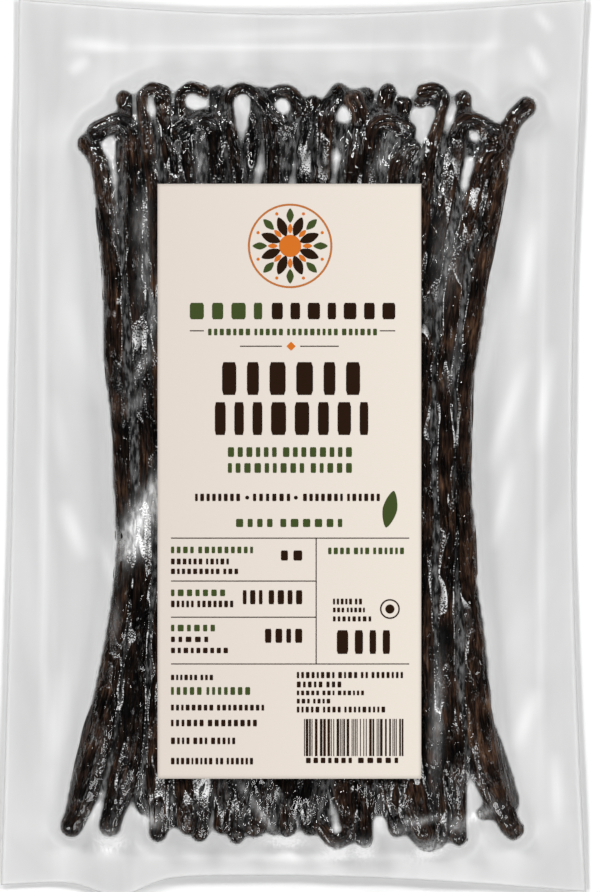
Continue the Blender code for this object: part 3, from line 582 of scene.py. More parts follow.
podSkin = podSkinMaterial()
skinDraw = np.random.default_rng(skin["seed"])
podRow("podsFront", pods.row == 0, *skin["front"], podSkin, skinDraw)
podRow("podsMiddle", pods.row == 1, *skin["middle"], podSkin, skinDraw)
podRow("podsBack", pods.row == 2, *skin["back"], podSkin, skinDraw)
report("pods made")


# Film pouch: two films drawn in against the pods and welded round them
pouch = {
    "cornerBottomLeft": (-61.1, -91.4), "cornerBottomRight": (61.1, -92.8),
    "cornerTopLeft": (-57.4, 93.6), "cornerTopRight": (61.1, 93.6),
    "bowLeft": 0.6, "bowRight": 2.9, "bowTop": 3.1, "bowBottom": 2.7,
    "tongueX": -36.5, "tongueDepth": 3.6, "tongueSpread": 7.0,
    "weldThickness": 0.34, "weldShare": 0.42, "weldEdge": 0.75, "weldDroop": 9.0, "weldWave": 0.16,
    "frontPull": 0.60, "backPull": 0.20, "clearance": 0.16, "passes": 620, "restingFlat": 0.10,
    "rasterStep": 0.5, "rasterHalfX": 64.0, "rasterHalfY": 96.0,
    "cellsAcross": 212, "cellsAlong": 230, "gatherAcross": 0.45, "gatherAlong": 0.30,
    "gapMost": 3.0, "awayMost": 30.0, "creaseHeight": 0.22, "underLabel": 0.06, "lowest": 0.02,
    "fillPasses": 30, "planePasses": 70,
    # slow waves of the weld: radians a mm across and along, then slanting, and their starts
    "waveRates": (0.115, 0.083, 0.05, 0.14), "waveStarts": (0.8, 0.4), "slantShare": 0.5,
    # creases, raised in the front film and painted whiter as their highlights: x and y of both ends,
    # width, strength
    "creasesAndHighlights": (
        (-52.6, 78.0, -52.0, -72.0, 0.9, 0.55), (-46.0, 83.3, 48.0, 83.8, 0.8, 0.6),
        (52.4, 74.0, 51.4, -78.0, 0.9, 0.5), (-44.0, -85.6, 44.0, -85.2, 0.9, 0.5),
        (-48.5, 84.5, -34.0, 83.4, 1.6, 0.8), (-47.0, 77.8, -42.5, 81.5, 1.5, 0.7),
        (49.0, 84.5, 53.0, 76.5, 1.2, 0.7), (54.2, 86.5, 50.2, 91.5, 1.0, 0.6),
        (-48.5, -10.5, -43.5, -24.0, 1.8, 0.8), (-41.0, -17.5, -36.8, -30.0, 1.2, 0.5),
        (-50.5, 12.0, -47.5, -6.0, 1.6, 0.35), (-46.5, 31.0, -41.0, 8.0, 2.2, 0.4),
        (50.5, 48.0, 47.5, 27.0, 1.4, 0.6), (44.5, 36.0, 38.5, 8.0, 1.6, 0.55),
        (49.0, 20.0, 40.5, -6.0, 1.7, 0.7), (54.0, 22.0, 51.0, -2.0, 1.5, 0.7),
        (46.0, -2.0, 41.5, -22.0, 1.4, 0.6), (51.0, -50.0, 46.0, -64.0, 1.8, 0.7),
        (54.5, -63.0, 55.5, -80.0, 1.3, 0.6), (-49.0, -46.0, -50.5, -66.0, 1.8, 0.4),
        (-20.0, 85.6, 12.0, 87.4, 1.4, 0.35), (-12.0, -84.6, 14.0, -87.2, 1.2, 0.5),
        (-36.0, -83.4, -18.0, -84.6, 1.3, 0.5), (36.0, 80.0, 44.0, 86.5, 1.6, 0.4),
    ),
    # painted glare veils, the lights' reflections on the film laid on as white milk: x and y of the
    # middle, half length and half width, tilt, strength
    "glareVeils": (
        (-31.6, -15.0, 7.4, 2.3, 62.0, 1.0), (-29.2, -9.6, 5.0, 1.5, 68.0, 0.8),
        (-33.4, -20.6, 2.6, 2.0, 20.0, 0.9),
        (29.8, -56.0, 9.5, 1.1, 88.0, 0.30), (-6.8, -76.0, 7.5, 0.7, 125.0, 0.42),
        (-38.2, -82.4, 2.6, 1.9, 0.0, 0.75), (-29.6, -77.0, 1.8, 1.6, 0.0, 0.6),
        (-1.6, -82.0, 3.6, 1.4, 0.0, 0.6), (9.0, -84.2, 2.8, 1.6, 0.0, 0.6),
        (14.7, -84.0, 2.2, 1.8, 0.0, 0.6), (21.8, -79.6, 1.8, 0.9, 0.0, 0.3),
        (28.2, -84.0, 3.6, 1.6, 20.0, 0.6), (26.5, -77.6, 3.0, 0.7, 12.0, 0.4),
        (34.3, -78.6, 2.0, 1.2, 0.0, 0.4), (38.6, -76.6, 3.4, 1.0, 25.0, 0.5),
        (-37.2, 46.5, 4.0, 0.8, 84.0, 0.10), (30.5, 33.0, 6.0, 1.6, 80.0, 0.07),
        (-19.6, 58.0, 6.0, 0.8, 88.0, 0.16), (18.4, 60.5, 3.6, 1.2, 60.0, 0.2),
        (-37.0, -36.0, 3.0, 0.8, 85.0, 0.16), (33.5, 18.0, 3.6, 1.0, 80.0, 0.09),
        (-31.5, 47.0, 4.4, 1.5, 85.0, 0.20), (-31.0, 36.5, 6.0, 1.3, 85.0, 0.16),
        (-29.0, 28.5, 5.5, 0.9, 88.0, 0.24), (-31.4, 17.0, 3.6, 0.8, 60.0, 0.20),
        (-32.6, 9.5, 2.0, 0.9, 40.0, 0.30), (31.8, 40.0, 7.0, 2.2, 88.0, 0.12),
    ),
}


def rasterAxes():
    step = pouch["rasterStep"]
    x = np.arange(-pouch["rasterHalfX"], pouch["rasterHalfX"] + 0.5 * step, step)
    y = np.arange(-pouch["rasterHalfY"], pouch["rasterHalfY"] + 0.5 * step, step)
    return x, y


def envelope(points, radius):
    # highest and lowest reach of the pods over each raster cell, as rows of flattened balls
    xAxis, yAxis = rasterAxes()
    step = pouch["rasterStep"]
    middle, size = points.reshape(-1, 3), radius.reshape(-1) + pouch["clearance"]
    span = int(math.ceil(size.max() / step)) + 1
    offset = np.arange(-span, span + 1)
    column = np.rint((middle[:, 0] + pouch["rasterHalfX"]) / step).astype(int)
    line = np.rint((middle[:, 1] + pouch["rasterHalfY"]) / step).astype(int)
    columns = column[:, None, None] + offset[None, None, :]
    lines = line[:, None, None] + offset[None, :, None]
    awayX = xAxis[columns] - middle[:, 0, None, None]
    awayY = yAxis[lines] - middle[:, 1, None, None]
    inside = size[:, None, None] ** 2 - awayX ** 2 - awayY ** 2
    reached = inside > 0.0
    rise = np.sqrt(inside[reached])
    where = (np.broadcast_to(lines, inside.shape)[reached],
             np.broadcast_to(columns, inside.shape)[reached])
    height = np.broadcast_to(middle[:, 2, None, None], inside.shape)[reached]
    high = np.full((len(yAxis), len(xAxis)), -1e3)
    low = np.full((len(yAxis), len(xAxis)), 1e3)
    np.maximum.at(high, where, height + rise)
    np.minimum.at(low, where, height - rise)
    return high, low


def smoothed(field):
    padded = np.pad(field, 1, mode="edge")
    return 0.25 * (padded[:-2, 1:-1] + padded[2:, 1:-1] + padded[1:-1, :-2] + padded[1:-1, 2:])


def weldPlane(high):
    # where the films meet: part of the bundle's height beside the pods, drooping outwards;
    # also the distance from the pods, and how far inside the bundle a point is, as a share
    xAxis, yAxis = rasterAxes()
    x, y = np.meshgrid(xAxis, yAxis)
    reached = high > 0.0
    distance, inward = np.zeros(high.shape), reached.astype(float)
    for _ in range(int(3 * pouch["weldDroop"] / pouch["rasterStep"])):
        distance[~reached] += pouch["rasterStep"]
        grown = reached.copy()
        grown[1:] |= reached[:-1]
        grown[:-1] |= reached[1:]
        grown[:, 1:] |= reached[:, :-1]
        grown[:, :-1] |= reached[:, 1:]
        reached = grown
    away = smoothed(smoothed(distance))
    for _ in range(pouch["planePasses"]):
        distance, inward = smoothed(distance), smoothed(inward)
    droop = np.exp(-distance / pouch["weldDroop"])
    rateX, rateY, slantX, slantY = pouch["waveRates"]
    startX, startY = pouch["waveStarts"]
    wave = np.sin(x * rateX + startX) * np.sin(y * rateY + startY)
    wave = wave + pouch["slantShare"] * np.sin(x * slantX - y * slantY)
    beside = pouch["weldShare"] * ceiling(x, y)
    height = pouch["weldEdge"] + (beside - pouch["weldEdge"]) * droop
    return height + pouch["weldWave"] * wave * (1.0 - droop), away, inward


def filmHeights(high, low, weld):
    # a stretched film drawn inwards: each point sinks below its neighbours' mean by the
    # pull, and stays clear of the pods and of the other film
    half = pouch["weldThickness"] / 2
    front, back = np.maximum(high, weld + half), np.minimum(low, weld - half)
    for _ in range(pouch["fillPasses"]):
        front, back = np.maximum(front, smoothed(front)), np.minimum(back, smoothed(back))
    frontSink = pouch["frontPull"] * pouch["rasterStep"] ** 2 / 4
    backRise = pouch["backPull"] * pouch["rasterStep"] ** 2 / 4
    for _ in range(pouch["passes"]):
        front = np.maximum(np.maximum(smoothed(front) - frontSink, high), weld + half)
        back = np.minimum(np.minimum(smoothed(back) + backRise, low), weld - half)
    return front, np.maximum(back - pouch["restingFlat"], pouch["lowest"])


def sample(field, x, y):
    # value of a raster between its cells
    across = (x + pouch["rasterHalfX"]) / pouch["rasterStep"]
    along = (y + pouch["rasterHalfY"]) / pouch["rasterStep"]
    i = np.clip(np.floor(along).astype(int), 0, field.shape[0] - 2)
    j = np.clip(np.floor(across).astype(int), 0, field.shape[1] - 2)
    v, u = along - i, across - j
    lower = field[i, j] * (1 - u) + field[i, j + 1] * u
    upper = field[i + 1, j] * (1 - u) + field[i + 1, j + 1] * u
    return lower * (1 - v) + upper * v


def outlineGrid(across, along):
    # the outline filled with a grid: straight between corners, edges bowed inwards,
    # columns closer beside the label and rows closer at the ends, by a sine of their number
    u, v = np.linspace(0, 1, across + 1), np.linspace(0, 1, along + 1)
    u = u + pouch["gatherAcross"] * np.sin(4 * math.pi * u) / (4 * math.pi)
    v = v - pouch["gatherAlong"] * np.sin(2 * math.pi * v) / (2 * math.pi)
    u, v = np.meshgrid(u, v)
    lowLeft, lowRight = pouch["cornerBottomLeft"], pouch["cornerBottomRight"]
    topLeft, topRight = pouch["cornerTopLeft"], pouch["cornerTopRight"]
    left = lowLeft[0] * (1 - v) + topLeft[0] * v + pouch["bowLeft"] * np.sin(math.pi * v)
    right = lowRight[0] * (1 - v) + topRight[0] * v - pouch["bowRight"] * np.sin(math.pi * v)
    x = left * (1 - u) + right * u
    tongue = pouch["tongueDepth"] * np.exp(-((x - pouch["tongueX"]) / pouch["tongueSpread"]) ** 2)
    bottom = (lowLeft[1] * (1 - u) + lowRight[1] * u
              + pouch["bowBottom"] * np.sin(math.pi * u) - tongue)
    top = topLeft[1] * (1 - u) + topRight[1] * u - pouch["bowTop"] * np.sin(math.pi * u)
    return x, bottom * (1 - v) + top * v


def sheetFaces(rows, columns):
    # faces of two grids of points, front over back, joined by a wall round their edges
    index = np.arange(rows * columns).reshape(rows, columns)
    a, b = index[:-1, :-1].ravel(), index[:-1, 1:].ravel()
    c, d = index[1:, 1:].ravel(), index[1:, :-1].ravel()
    shift = rows * columns
    loop = np.concatenate([index[0, :-1], index[:-1, -1], index[-1, :0:-1], index[:0:-1, 0]])
    ahead = np.roll(loop, -1)
    return np.concatenate([np.stack([a, b, c, d], axis=1),
                           np.stack([d, c, b, a], axis=1) + shift,
                           np.stack([loop, loop + shift, ahead + shift, ahead], axis=1)])


def closedSheet(name, x, y, front, back, material):
    points = np.concatenate([np.stack([x, y, front], axis=2).reshape(-1, 3),
                             np.stack([x, y, back], axis=2).reshape(-1, 3)])
    return newPiece(name, points, sheetFaces(*x.shape).tolist(), material)


def creaseAndHighlightField(x, y):
    # each crease falls off by a bell across it and ends in a soft taper along it; the field raises the
    # film and also paints its highlight
    total = np.zeros_like(x)
    for x0, y0, x1, y1, width, strength in pouch["creasesAndHighlights"]:
        length = math.hypot(x1 - x0, y1 - y0)
        alongX, alongY = (x1 - x0) / length, (y1 - y0) / length
        along = ((x - x0) * alongX + (y - y0) * alongY) / length
        across = (x - x0) * alongY - (y - y0) * alongX
        taper = np.clip(1.0 - (2.0 * along - 1.0) ** 2, 0.0, 1.0)
        total = total + strength * taper * np.exp(-(across / width) ** 2)
    return total


def glareVeilField(x, y):
    # each painted glare veil is a tilted ellipse, full inside and soft at its edge
    total = np.zeros_like(x)
    for x0, y0, longHalf, shortHalf, tilt, strength in pouch["glareVeils"]:
        turn = math.radians(tilt)
        along = (x - x0) * math.cos(turn) + (y - y0) * math.sin(turn)
        across = (y - y0) * math.cos(turn) - (x - x0) * math.sin(turn)
        away = (along / longHalf) ** 2 + (across / shortHalf) ** 2
        total = np.maximum(total, strength * np.exp(-away))
    return total


# How the film looks, made of the attributes away, gap, inward, the creases with their painted highlights
# and the painted glare veils
filmLook = {
    # patterns: scale, stretch, turn, detail, distortion
    "patterns": {
        # streaks: painted highlight streaks, whiter milk in the film's margin
        "highlightStreaks": (60.0, (1.0, 0.22, 1.0), 0.35, 2.0, 1.0),     # 20 mm long
        "lean": (210.0, (1.0, 0.36, 1.0), 0.06, 1.5, 0.8),       # patches that touch, 4 by 10 mm
        "clusters": (150.0, (1.0, 1.0, 1.0), 0.0, 2.0, 0.0),
        # bubbles: grains of the painted bubble glints
        "bubbleGlints": (3200.0, (1.0, 1.0, 1.0), 0.0, 1.0, 0.0),
        "wisps": (1500.0, (1.0, 0.3, 1.0), 0.0, 3.0, 0.0),
        "crinkles": (620.0, (1.0, 0.45, 1.0), 0.15, 1.0, 0.5),   # 1.6 mm apart
    },
    # steps: a name, then either what joins two values or a value and a number, or "range"
    # with a value, the two ends that it runs between and the two that they are turned to
    "steps": (
        # margin: even grey milk with painted highlight streaks, and painted light beside the pods
        ("margin", "range", "away", 0.12, 0.4, 0.0, 1.0),
        ("highlightStreak", "range", "highlightStreaks", 0.42, 0.72, 0.0, 1.0),
        ("highlightStreakMilk", "range", "highlightStreak", 0.0, 1.0, 0.52, 0.62),
        # beside: painted light, extra pale milk near the pods over the shade they cast
        ("beside", "range", "away", 0.5, 12.0, 0.14, 0.0),
        ("milk", "ADD", "highlightStreakMilk", "beside"),
        ("milk", "MULTIPLY", "margin", "milk"),
        # the gap to the pods in mm, moved up and down by the patches
        ("lift", "range", "lean", 0.2, 0.8, -0.85, 0.75),
        ("lift", "ADD", "gap", "lift"),
        # painted glints: rows of small bubble sparkles and a fine rim highlight round each patch that
        # touches
        ("edgeInside", "range", "lift", 0.08, 0.14, 0.0, 1.0),
        ("edgeOutside", "range", "lift", 0.18, 0.42, 1.0, 0.0),
        ("edge", "MULTIPLY", "edgeInside", "edgeOutside"),
        ("grains", "ADD", "bubbleGlints", "clusters"),
        ("grains", "range", "grains", 1.05, 1.17, 0.0, 0.72),
        ("sparkle", "MULTIPLY", "grains", "edge"),
        # rim: a painted highlight line round each patch that touches
        ("rimGlintInside", "range", "lift", 0.10, 0.13, 0.0, 0.16),
        ("rimGlintOutside", "range", "lift", 0.13, 0.17, 1.0, 0.0),
        ("rimGlint", "MULTIPLY", "rimGlintInside", "rimGlintOutside"),
        ("clustered", "range", "clusters", 0.42, 0.58, 0.0, 1.0),
        ("rimGlint", "MULTIPLY", "rimGlint", "clustered"),
        ("sparkle", "ADD", "sparkle", "rimGlint"),
        ("within", "range", "inward", 0.78, 0.92, 0.12, 1.0),
        ("sparkle", "MULTIPLY", "sparkle", "within"),
        # thin haze where the film stands off the pods, partly painted light over the shade seen through
        # gaps, and painted glare veils
        ("patchy", "range", "wisps", 0.42, 0.66, 0.05, 1.0),
        # thin: milk where the film stands off the pods, which also paints light over the shade seen
        # through gaps
        ("thin", "range", "lift", 0.2, 1.1, 0.0, 0.14),
        ("thin", "MULTIPLY", "thin", "patchy"),
        ("deepInside", "range", "inward", 0.75, 0.93, 0.3, 1.0),
        ("thin", "MULTIPLY", "thin", "deepInside"),
        ("overPods", "range", "margin", 0.0, 1.0, 1.0, 0.0),
        ("thin", "MULTIPLY", "thin", "overPods"),
        ("wispy", "range", "patchy", 0.0, 1.0, 0.4, 1.0),
        # painted glare veils: the lights' reflections on the film, as whiter milk
        ("glareVeilWisps", "MULTIPLY", "glareVeil", "wispy"),
        # creases: painted milkier and whiter, as their highlights
        ("creaseHighlightMilk", "MULTIPLY", "creaseAndHighlight", 0.22),
        # haze: how much of the film is milk, painted highlights and light included; pale: how white that
        # milk is, all of it painted highlight
        ("hazeAndPaintedLight", "ADD", "milk", "sparkle"),
        ("hazeAndPaintedLight", "ADD", "hazeAndPaintedLight", "thin"),
        ("hazeAndPaintedLight", "ADD", "hazeAndPaintedLight", "glareVeilWisps"),
        ("hazeAndPaintedLight", "ADD", "hazeAndPaintedLight", "creaseHighlightMilk"),
        ("paintedWhiteness", "MULTIPLY", "highlightStreak", 0.25),
        ("paintedWhiteness", "ADD", "paintedWhiteness", "sparkle"),
        ("paintedWhiteness", "ADD", "paintedWhiteness", "glareVeilWisps"),
        ("paintedWhiteness", "ADD", "paintedWhiteness", "beside"),
        ("paintedWhiteness", "ADD", "paintedWhiteness", "creaseAndHighlight"),
        # strong crinkles and a sharp gloss over the pods, next to none in the margin
        ("crinkled", "range", "away", 0.0, 2.0, 0.8, 0.05),
        ("glossRoughness", "range", "away", 0.0, 1.0, 0.06, 0.42),
    ),
    "clamped": ("hazeAndPaintedLight", "paintedWhiteness"),    # never over one
    # milk: the grey of the film's own milk, then the white of its painted highlights
    "milk": ("#f1f1f1", "#fdfdfd"), "clear": (0.995, 0.995, 0.995, 1.0), "milkRoughness": 0.6,
    "crinkleDepth": 0.0008, "ior": 1.4,
}


def filmMaterial():
    # Clear co-extruded film: glossy, pale grey where it hangs free, clear where it lies on
    # the oily pods. The eye reads soft streaks in the margin, rows of tiny bubbles round each
    # patch that touches a pod, and a thin veil where the film stands off the pods. The streaks,
    # the bubbles' sparkle, the glare veils, the whiter creases and the light beside the pods are
    # painted highlights and painted light in the milk; the thin veil partly lifts painted light
    # over the shade seen through gaps.
    material, tree, shader, output = newMaterial("clearFilm")
    place = addNode(tree, "ShaderNodeTexCoord").outputs["Object"]
    value = {name: addNode(tree, "ShaderNodeAttribute", attribute_name=name).outputs["Fac"]
             for name in ("away", "gap", "creaseAndHighlight", "glareVeil", "inward")}
    for name, (scale, stretch, turn, detail, distortion) in filmLook["patterns"].items():
        drawn = addNode(tree, "ShaderNodeMapping", {
            "Vector": place, "Rotation": (0.0, 0.0, turn), "Scale": stretch})
        value[name] = addNode(tree, "ShaderNodeTexNoise", {
            "Vector": drawn.outputs["Vector"], "Scale": scale, "Detail": detail,
            "Distortion": distortion}).outputs["Fac"]
    for name, way, first, *rest in filmLook["steps"]:
        if way == "range":
            ends = dict(zip(("From Min", "From Max", "To Min", "To Max"), rest))
            node = addNode(tree, "ShaderNodeMapRange", {"Value": value[first], **ends})
        else:
            second = value.get(rest[0], rest[0])
            node = addNode(tree, "ShaderNodeMath", {0: value[first], 1: second}, operation=way,
                           use_clamp=name in filmLook["clamped"])
        value[name] = node.outputs[0]
    # the white end is painted highlight
    grey, paintedHighlightWhite = (linearColour(hexText) for hexText in filmLook["milk"])
    milkAndHighlightColour = addNode(tree, "ShaderNodeMix", {"Factor": value["paintedWhiteness"], "A": grey, "B": paintedHighlightWhite},
                         data_type="RGBA")
    tree.links.new(milkAndHighlightColour.outputs["Result"], shader.inputs["Base Color"])
    shader.inputs["Roughness"].default_value = filmLook["milkRoughness"]
    shader.inputs["Specular IOR Level"].default_value = 0.0
    bump = addNode(tree, "ShaderNodeBump", {
        "Height": value["crinkles"], "Strength": value["crinkled"],
        "Distance": filmLook["crinkleDepth"]})
    clear = addNode(tree, "ShaderNodeBsdfTransparent", {"Color": filmLook["clear"]})
    body = addNode(tree, "ShaderNodeMixShader", {
        0: value["hazeAndPaintedLight"], 1: clear.outputs[0], 2: shader.outputs[0]})
    gloss = addNode(tree, "ShaderNodeBsdfGlossy", {
        "Color": (1.0, 1.0, 1.0, 1.0), "Roughness": value["glossRoughness"],
        "Normal": bump.outputs["Normal"]})
    mirror = addNode(tree, "ShaderNodeFresnel", {
        "IOR": filmLook["ior"], "Normal": bump.outputs["Normal"]})
    film = addNode(tree, "ShaderNodeMixShader", {
        0: mirror.outputs[0], 1: body.outputs[0], 2: gloss.outputs[0]})
    tree.links.new(film.outputs[0], output.inputs["Surface"])
    return material


podsHigh, podsLow = envelope(linePoints, lineRadius)
weld, fromPods, intoBundle = weldPlane(podsHigh)
filmFront, filmBack = filmHeights(podsHigh, podsLow, weld)


def makeFilm():
    x, y = outlineGrid(pouch["cellsAcross"], pouch["cellsAlong"])
    front, back = sample(filmFront, x, y), sample(filmBack, x, y)
    creaseAndHighlight, glareVeil = creaseAndHighlightField(x, y), glareVeilField(x, y)
    away = sample(fromPods, x, y)
    front = front + pouch["creaseHeight"] * creaseAndHighlight * np.clip(away, 0.0, 1.0)
    under = (np.abs(x - (labelLow[0] + labelHigh[0]) / 2) < (labelHigh[0] - labelLow[0]) / 2 + 1)
    under &= (np.abs(y - (labelLow[1] + labelHigh[1]) / 2) < (labelHigh[1] - labelLow[1]) / 2 + 1)
    front = np.where(under, np.minimum(front, labelUnder(x) - pouch["underLabel"]), front)
    film = closedSheet("filmPouch", x, y, front, back, filmMaterial())
    aboveFront = front - sample(np.maximum(podsHigh, -5.0), x, y)
    belowBack = sample(np.minimum(podsLow, 20.0), x, y) - back
    gap = np.concatenate([aboveFront.ravel(), belowBack.ravel()])
    addAttribute(film, "gap", np.clip(gap, 0.0, pouch["gapMost"]))
    addAttribute(film, "away", np.tile(np.clip(away, 0.0, pouch["awayMost"]).ravel(), 2))
    addAttribute(film, "inward", np.tile(sample(intoBundle, x, y).ravel(), 2))
    none = np.zeros(creaseAndHighlight.size)
    addAttribute(film, "creaseAndHighlight", np.concatenate([creaseAndHighlight.ravel(), none]))
    # painted glare veils lie on the front film only
    addAttribute(film, "glareVeil", np.concatenate([glareVeil.ravel(), none]))
    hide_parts("bag")
    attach(film, "root")


# Paper label, crowned a little across the pack
label = {
    "crown": 0.5, "thickness": 0.2, "cellsAcross": 60, "cellsAlong": 120, "cadThickness": 0.35,
    "creamShadedLeft": "#d6ccc3", "creamLitRight": "#e1d8cd", "fleck": "#c9b8a2", "fleckShare": 0.10,
    "grainScale": 900.0, "roughness": 0.55,
}
labelMiddle = (labelLow + labelHigh) / 2
labelHalf = (labelHigh - labelLow) / 2


def labelTop(x):
    # height of the label's printed face: highest along its middle, falling by a square
    across = (x - labelMiddle[0]) / labelHalf[0]
    return labelHigh[2] - label["crown"] * across ** 2


def labelUnder(x):
    return labelTop(x) - label["cadThickness"]


def paperMaterial():
    # Coated label paper, offset printed: cream, matt to satin, with a faint laid grain.
    # Its cream is painted shade: darker towards the left and lighter towards the right.
    material, tree, shader, output = newMaterial("labelPaper")
    place = addNode(tree, "ShaderNodeTexCoord").outputs["Object"]
    grain = addNode(tree, "ShaderNodeMapping", {"Vector": place, "Scale": (1.0, 6.0, 1.0)})
    fibre = addNode(tree, "ShaderNodeTexNoise", {
        "Vector": grain.outputs["Vector"], "Scale": label["grainScale"], "Detail": 4.0})
    apart = addNode(tree, "ShaderNodeSeparateXYZ", {"Vector": place})
    # painted shade: the cream runs from darker at the left edge to lighter at the right
    side = addNode(tree, "ShaderNodeMapRange", {
        "Value": apart.outputs["X"], "From Min": -0.028, "From Max": 0.026})
    cream = addNode(tree, "ShaderNodeMix", {
        "Factor": side.outputs["Result"], "A": linearColour(label["creamShadedLeft"]),
        "B": linearColour(label["creamLitRight"])}, data_type="RGBA")
    flecked = addNode(tree, "ShaderNodeMapRange", {
        "Value": fibre.outputs["Fac"], "To Min": 0.0, "To Max": label["fleckShare"]})
    colour = addNode(tree, "ShaderNodeMix", {
        "Factor": flecked.outputs["Result"], "A": cream.outputs["Result"],
        "B": linearColour(label["fleck"])}, data_type="RGBA")
    tree.links.new(colour.outputs["Result"], shader.inputs["Base Color"])
    shader.inputs["Roughness"].default_value = label["roughness"]
    bump = addNode(tree, "ShaderNodeBump", {
        "Height": fibre.outputs["Fac"], "Strength": 0.25, "Distance": 0.00005})
    tree.links.new(bump.outputs["Normal"], shader.inputs["Normal"])
    return material


def makeLabel():
    x, y = np.meshgrid(np.linspace(labelLow[0], labelHigh[0], label["cellsAcross"] + 1),
                       np.linspace(labelLow[1], labelHigh[1], label["cellsAlong"] + 1))
    top = labelTop(x)
    paper = closedSheet("labelPaper", x, y, top, top - label["thickness"], paperMaterial())
    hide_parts("label")
    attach(paper, "root")


# Print on the label: a generic rosette, plain blocks in place of words, rules and bars
printing = {
    "lift": 0.05, "sink": 0.03,        # mm over and under the label's face
    "inks": {"brown": "#25150a", "green": "#3d4a24", "orange": "#cb6c22", "ringBrown": "#b56c34"},
    "gap": 0.75, "space": 1.30,        # between blocks and between words, against a block
    "smallLine": 2.6, "smallShare": 0.8,    # lines lower than this are thinner still
    "cornerCut": 0.72, "roundness": 0.4, "seed": 4, "roughness": 0.5, "specular": 0.05,
    "blockWidths": (0.7, 1.3), "barWidths": (1, 1, 2, 3),    # against each other
    "blockColumns": 6, "ruleColumns": 40, "shapeSides": 28, "ringSides": 96,
    # rows of blocks: left, right, bottom, top, how many in each word, ink
    "words": (
        (-21.5, -6.5, 26.6, 30.0, (4,), "green"), (-4.5, 21.1, 26.6, 30.0, (7,), "brown"),
        (-17.7, 17.3, 23.1, 24.8, (7, 5, 9, 6), "green"), (-14.8, 13.8, 10.9, 17.7, (6,), "brown"),
        (-16.3, 15.5, 2.6, 9.4, (8,), "brown"), (-13.6, 12.1, -2.2, 0.3, (6, 8), "green"),
        (-13.6, 12.1, -5.5, -3.0, (9, 5), "green"), (-20.4, -11.1, -11.3, -9.4, (8,), "brown"),
        (-8.4, -0.7, -11.3, -9.4, (6,), "brown"), (2.0, 17.9, -11.3, -9.4, (7, 6), "brown"),
        (-11.9, 10.1, -16.7, -14.6, (4, 6), "green"), (-25.4, -8.4, -22.1, -20.4, (4, 9), "green"),
        (-25.4, -13.4, -24.4, -22.9, (6, 5), "brown"), (-25.4, -11.5, -26.4, -25.0, (9, 3), "brown"),
        (-2.6, 1.8, -23.7, -21.1, (2,), "brown"), (-25.4, -14.2, -31.0, -29.3, (7,), "green"),
        (-25.4, -12.5, -33.3, -31.6, (5, 7), "brown"), (-10.5, 1.8, -32.5, -29.6, (3, 4), "brown"),
        (-25.4, -16.3, -38.3, -36.6, (6,), "green"), (-25.4, -17.7, -40.5, -39.1, (5,), "brown"),
        (-25.4, -13.6, -42.8, -41.4, (9,), "brown"), (-5.9, 1.8, -40.5, -37.6, (4,), "brown"),
        (7.2, 22.9, -22.3, -20.6, (4, 3, 6), "green"), (8.2, 14.2, -32.7, -31.2, (5, 2), "brown"),
        (8.2, 14.8, -34.3, -33.1, (3, 5), "brown"), (8.2, 16.1, -36.2, -34.9, (8,), "brown"),
        (9.0, 20.0, -42.8, -37.9, (4,), "brown"), (-25.4, -16.7, -48.4, -47.0, (6, 3), "brown"),
        (-25.4, -9.0, -51.5, -49.5, (5, 7), "green"), (-25.4, -6.1, -54.7, -53.2, (8, 9), "brown"),
        (-25.4, -7.6, -58.0, -56.3, (6, 8), "brown"), (-25.4, -12.1, -61.7, -60.0, (4, 3, 5), "brown"),
        (-25.4, -8.4, -65.9, -64.2, (9, 2, 6), "brown"),
        (0.7, 22.7, -48.0, -46.4, (8, 4, 2, 7), "brown"), (0.7, 9.9, -49.9, -48.4, (5, 3), "brown"),
        (0.7, 14.6, -51.5, -50.3, (5, 3, 6), "brown"), (0.7, 7.6, -53.2, -52.0, (3, 4), "brown"),
        (0.7, 19.0, -55.1, -53.6, (5, 4, 9), "brown"), (2.6, 12.1, -65.6, -64.2, (7,), "brown"),
        (13.4, 21.7, -65.6, -64.2, (5,), "brown"),
    ),
    # rules: left, right, bottom, top, ink
    "rules": (
        (-25.4, 24.0, -18.9, -18.7, "brown"), (-25.4, 4.7, -27.8, -27.6, "brown"),
        (-25.4, 4.7, -35.3, -35.1, "brown"), (-25.4, 24.0, -45.0, -44.8, "brown"),
        (4.6, 4.8, -44.9, -18.8, "brown"), (-21.5, -18.6, 24.1, 24.3, "brown"),
        (17.9, 21.1, 24.1, 24.3, "brown"), (-11.1, -2.4, 20.9, 21.1, "brown"),
        (1.4, 9.4, 20.9, 21.1, "brown"),
    ),
    "bars": (2.2, 22.8, -64.0, -56.3, 34, "brown"),    # left, right, bottom, top, how many, ink
    # single shapes: x, y, half length, half width, tilt in degrees, power of the outline, ink
    "shapes": (
        (20.0, -12.8, 3.9, 1.5, 78.0, 1.5, "green"), (20.0, -33.5, 0.95, 0.95, 0.0, 2.0, "brown"),
        (-0.5, 21.0, 0.95, 0.95, 0.0, 1.0, "orange"), (-9.6, -10.4, 0.4, 0.4, 0.0, 2.0, "brown"),
        (0.5, -10.4, 0.4, 0.4, 0.0, 2.0, "brown"), (-0.7, 41.8, 2.3, 2.3, 0.0, 2.0, "orange"),
    ),
    # rosette parts: distance, half length, half width, first angle, how many, power, ink
    "rosetteMiddle": (-0.7, 41.8),
    "rosette": (
        (4.3, 2.1, 1.0, 22.5, 8, 1.5, "brown"), (6.3, 1.5, 0.75, 0.0, 8, 1.4, "green"),
        (3.6, 1.0, 0.5, 0.0, 8, 1.5, "orange"), (7.2, 0.32, 0.32, 22.5, 8, 2.0, "orange"),
    ),
    "rings": ((-0.7, 41.8, 8.35, 8.75, "ringBrown"), (20.0, -33.5, 1.75, 2.05, "brown")),
}


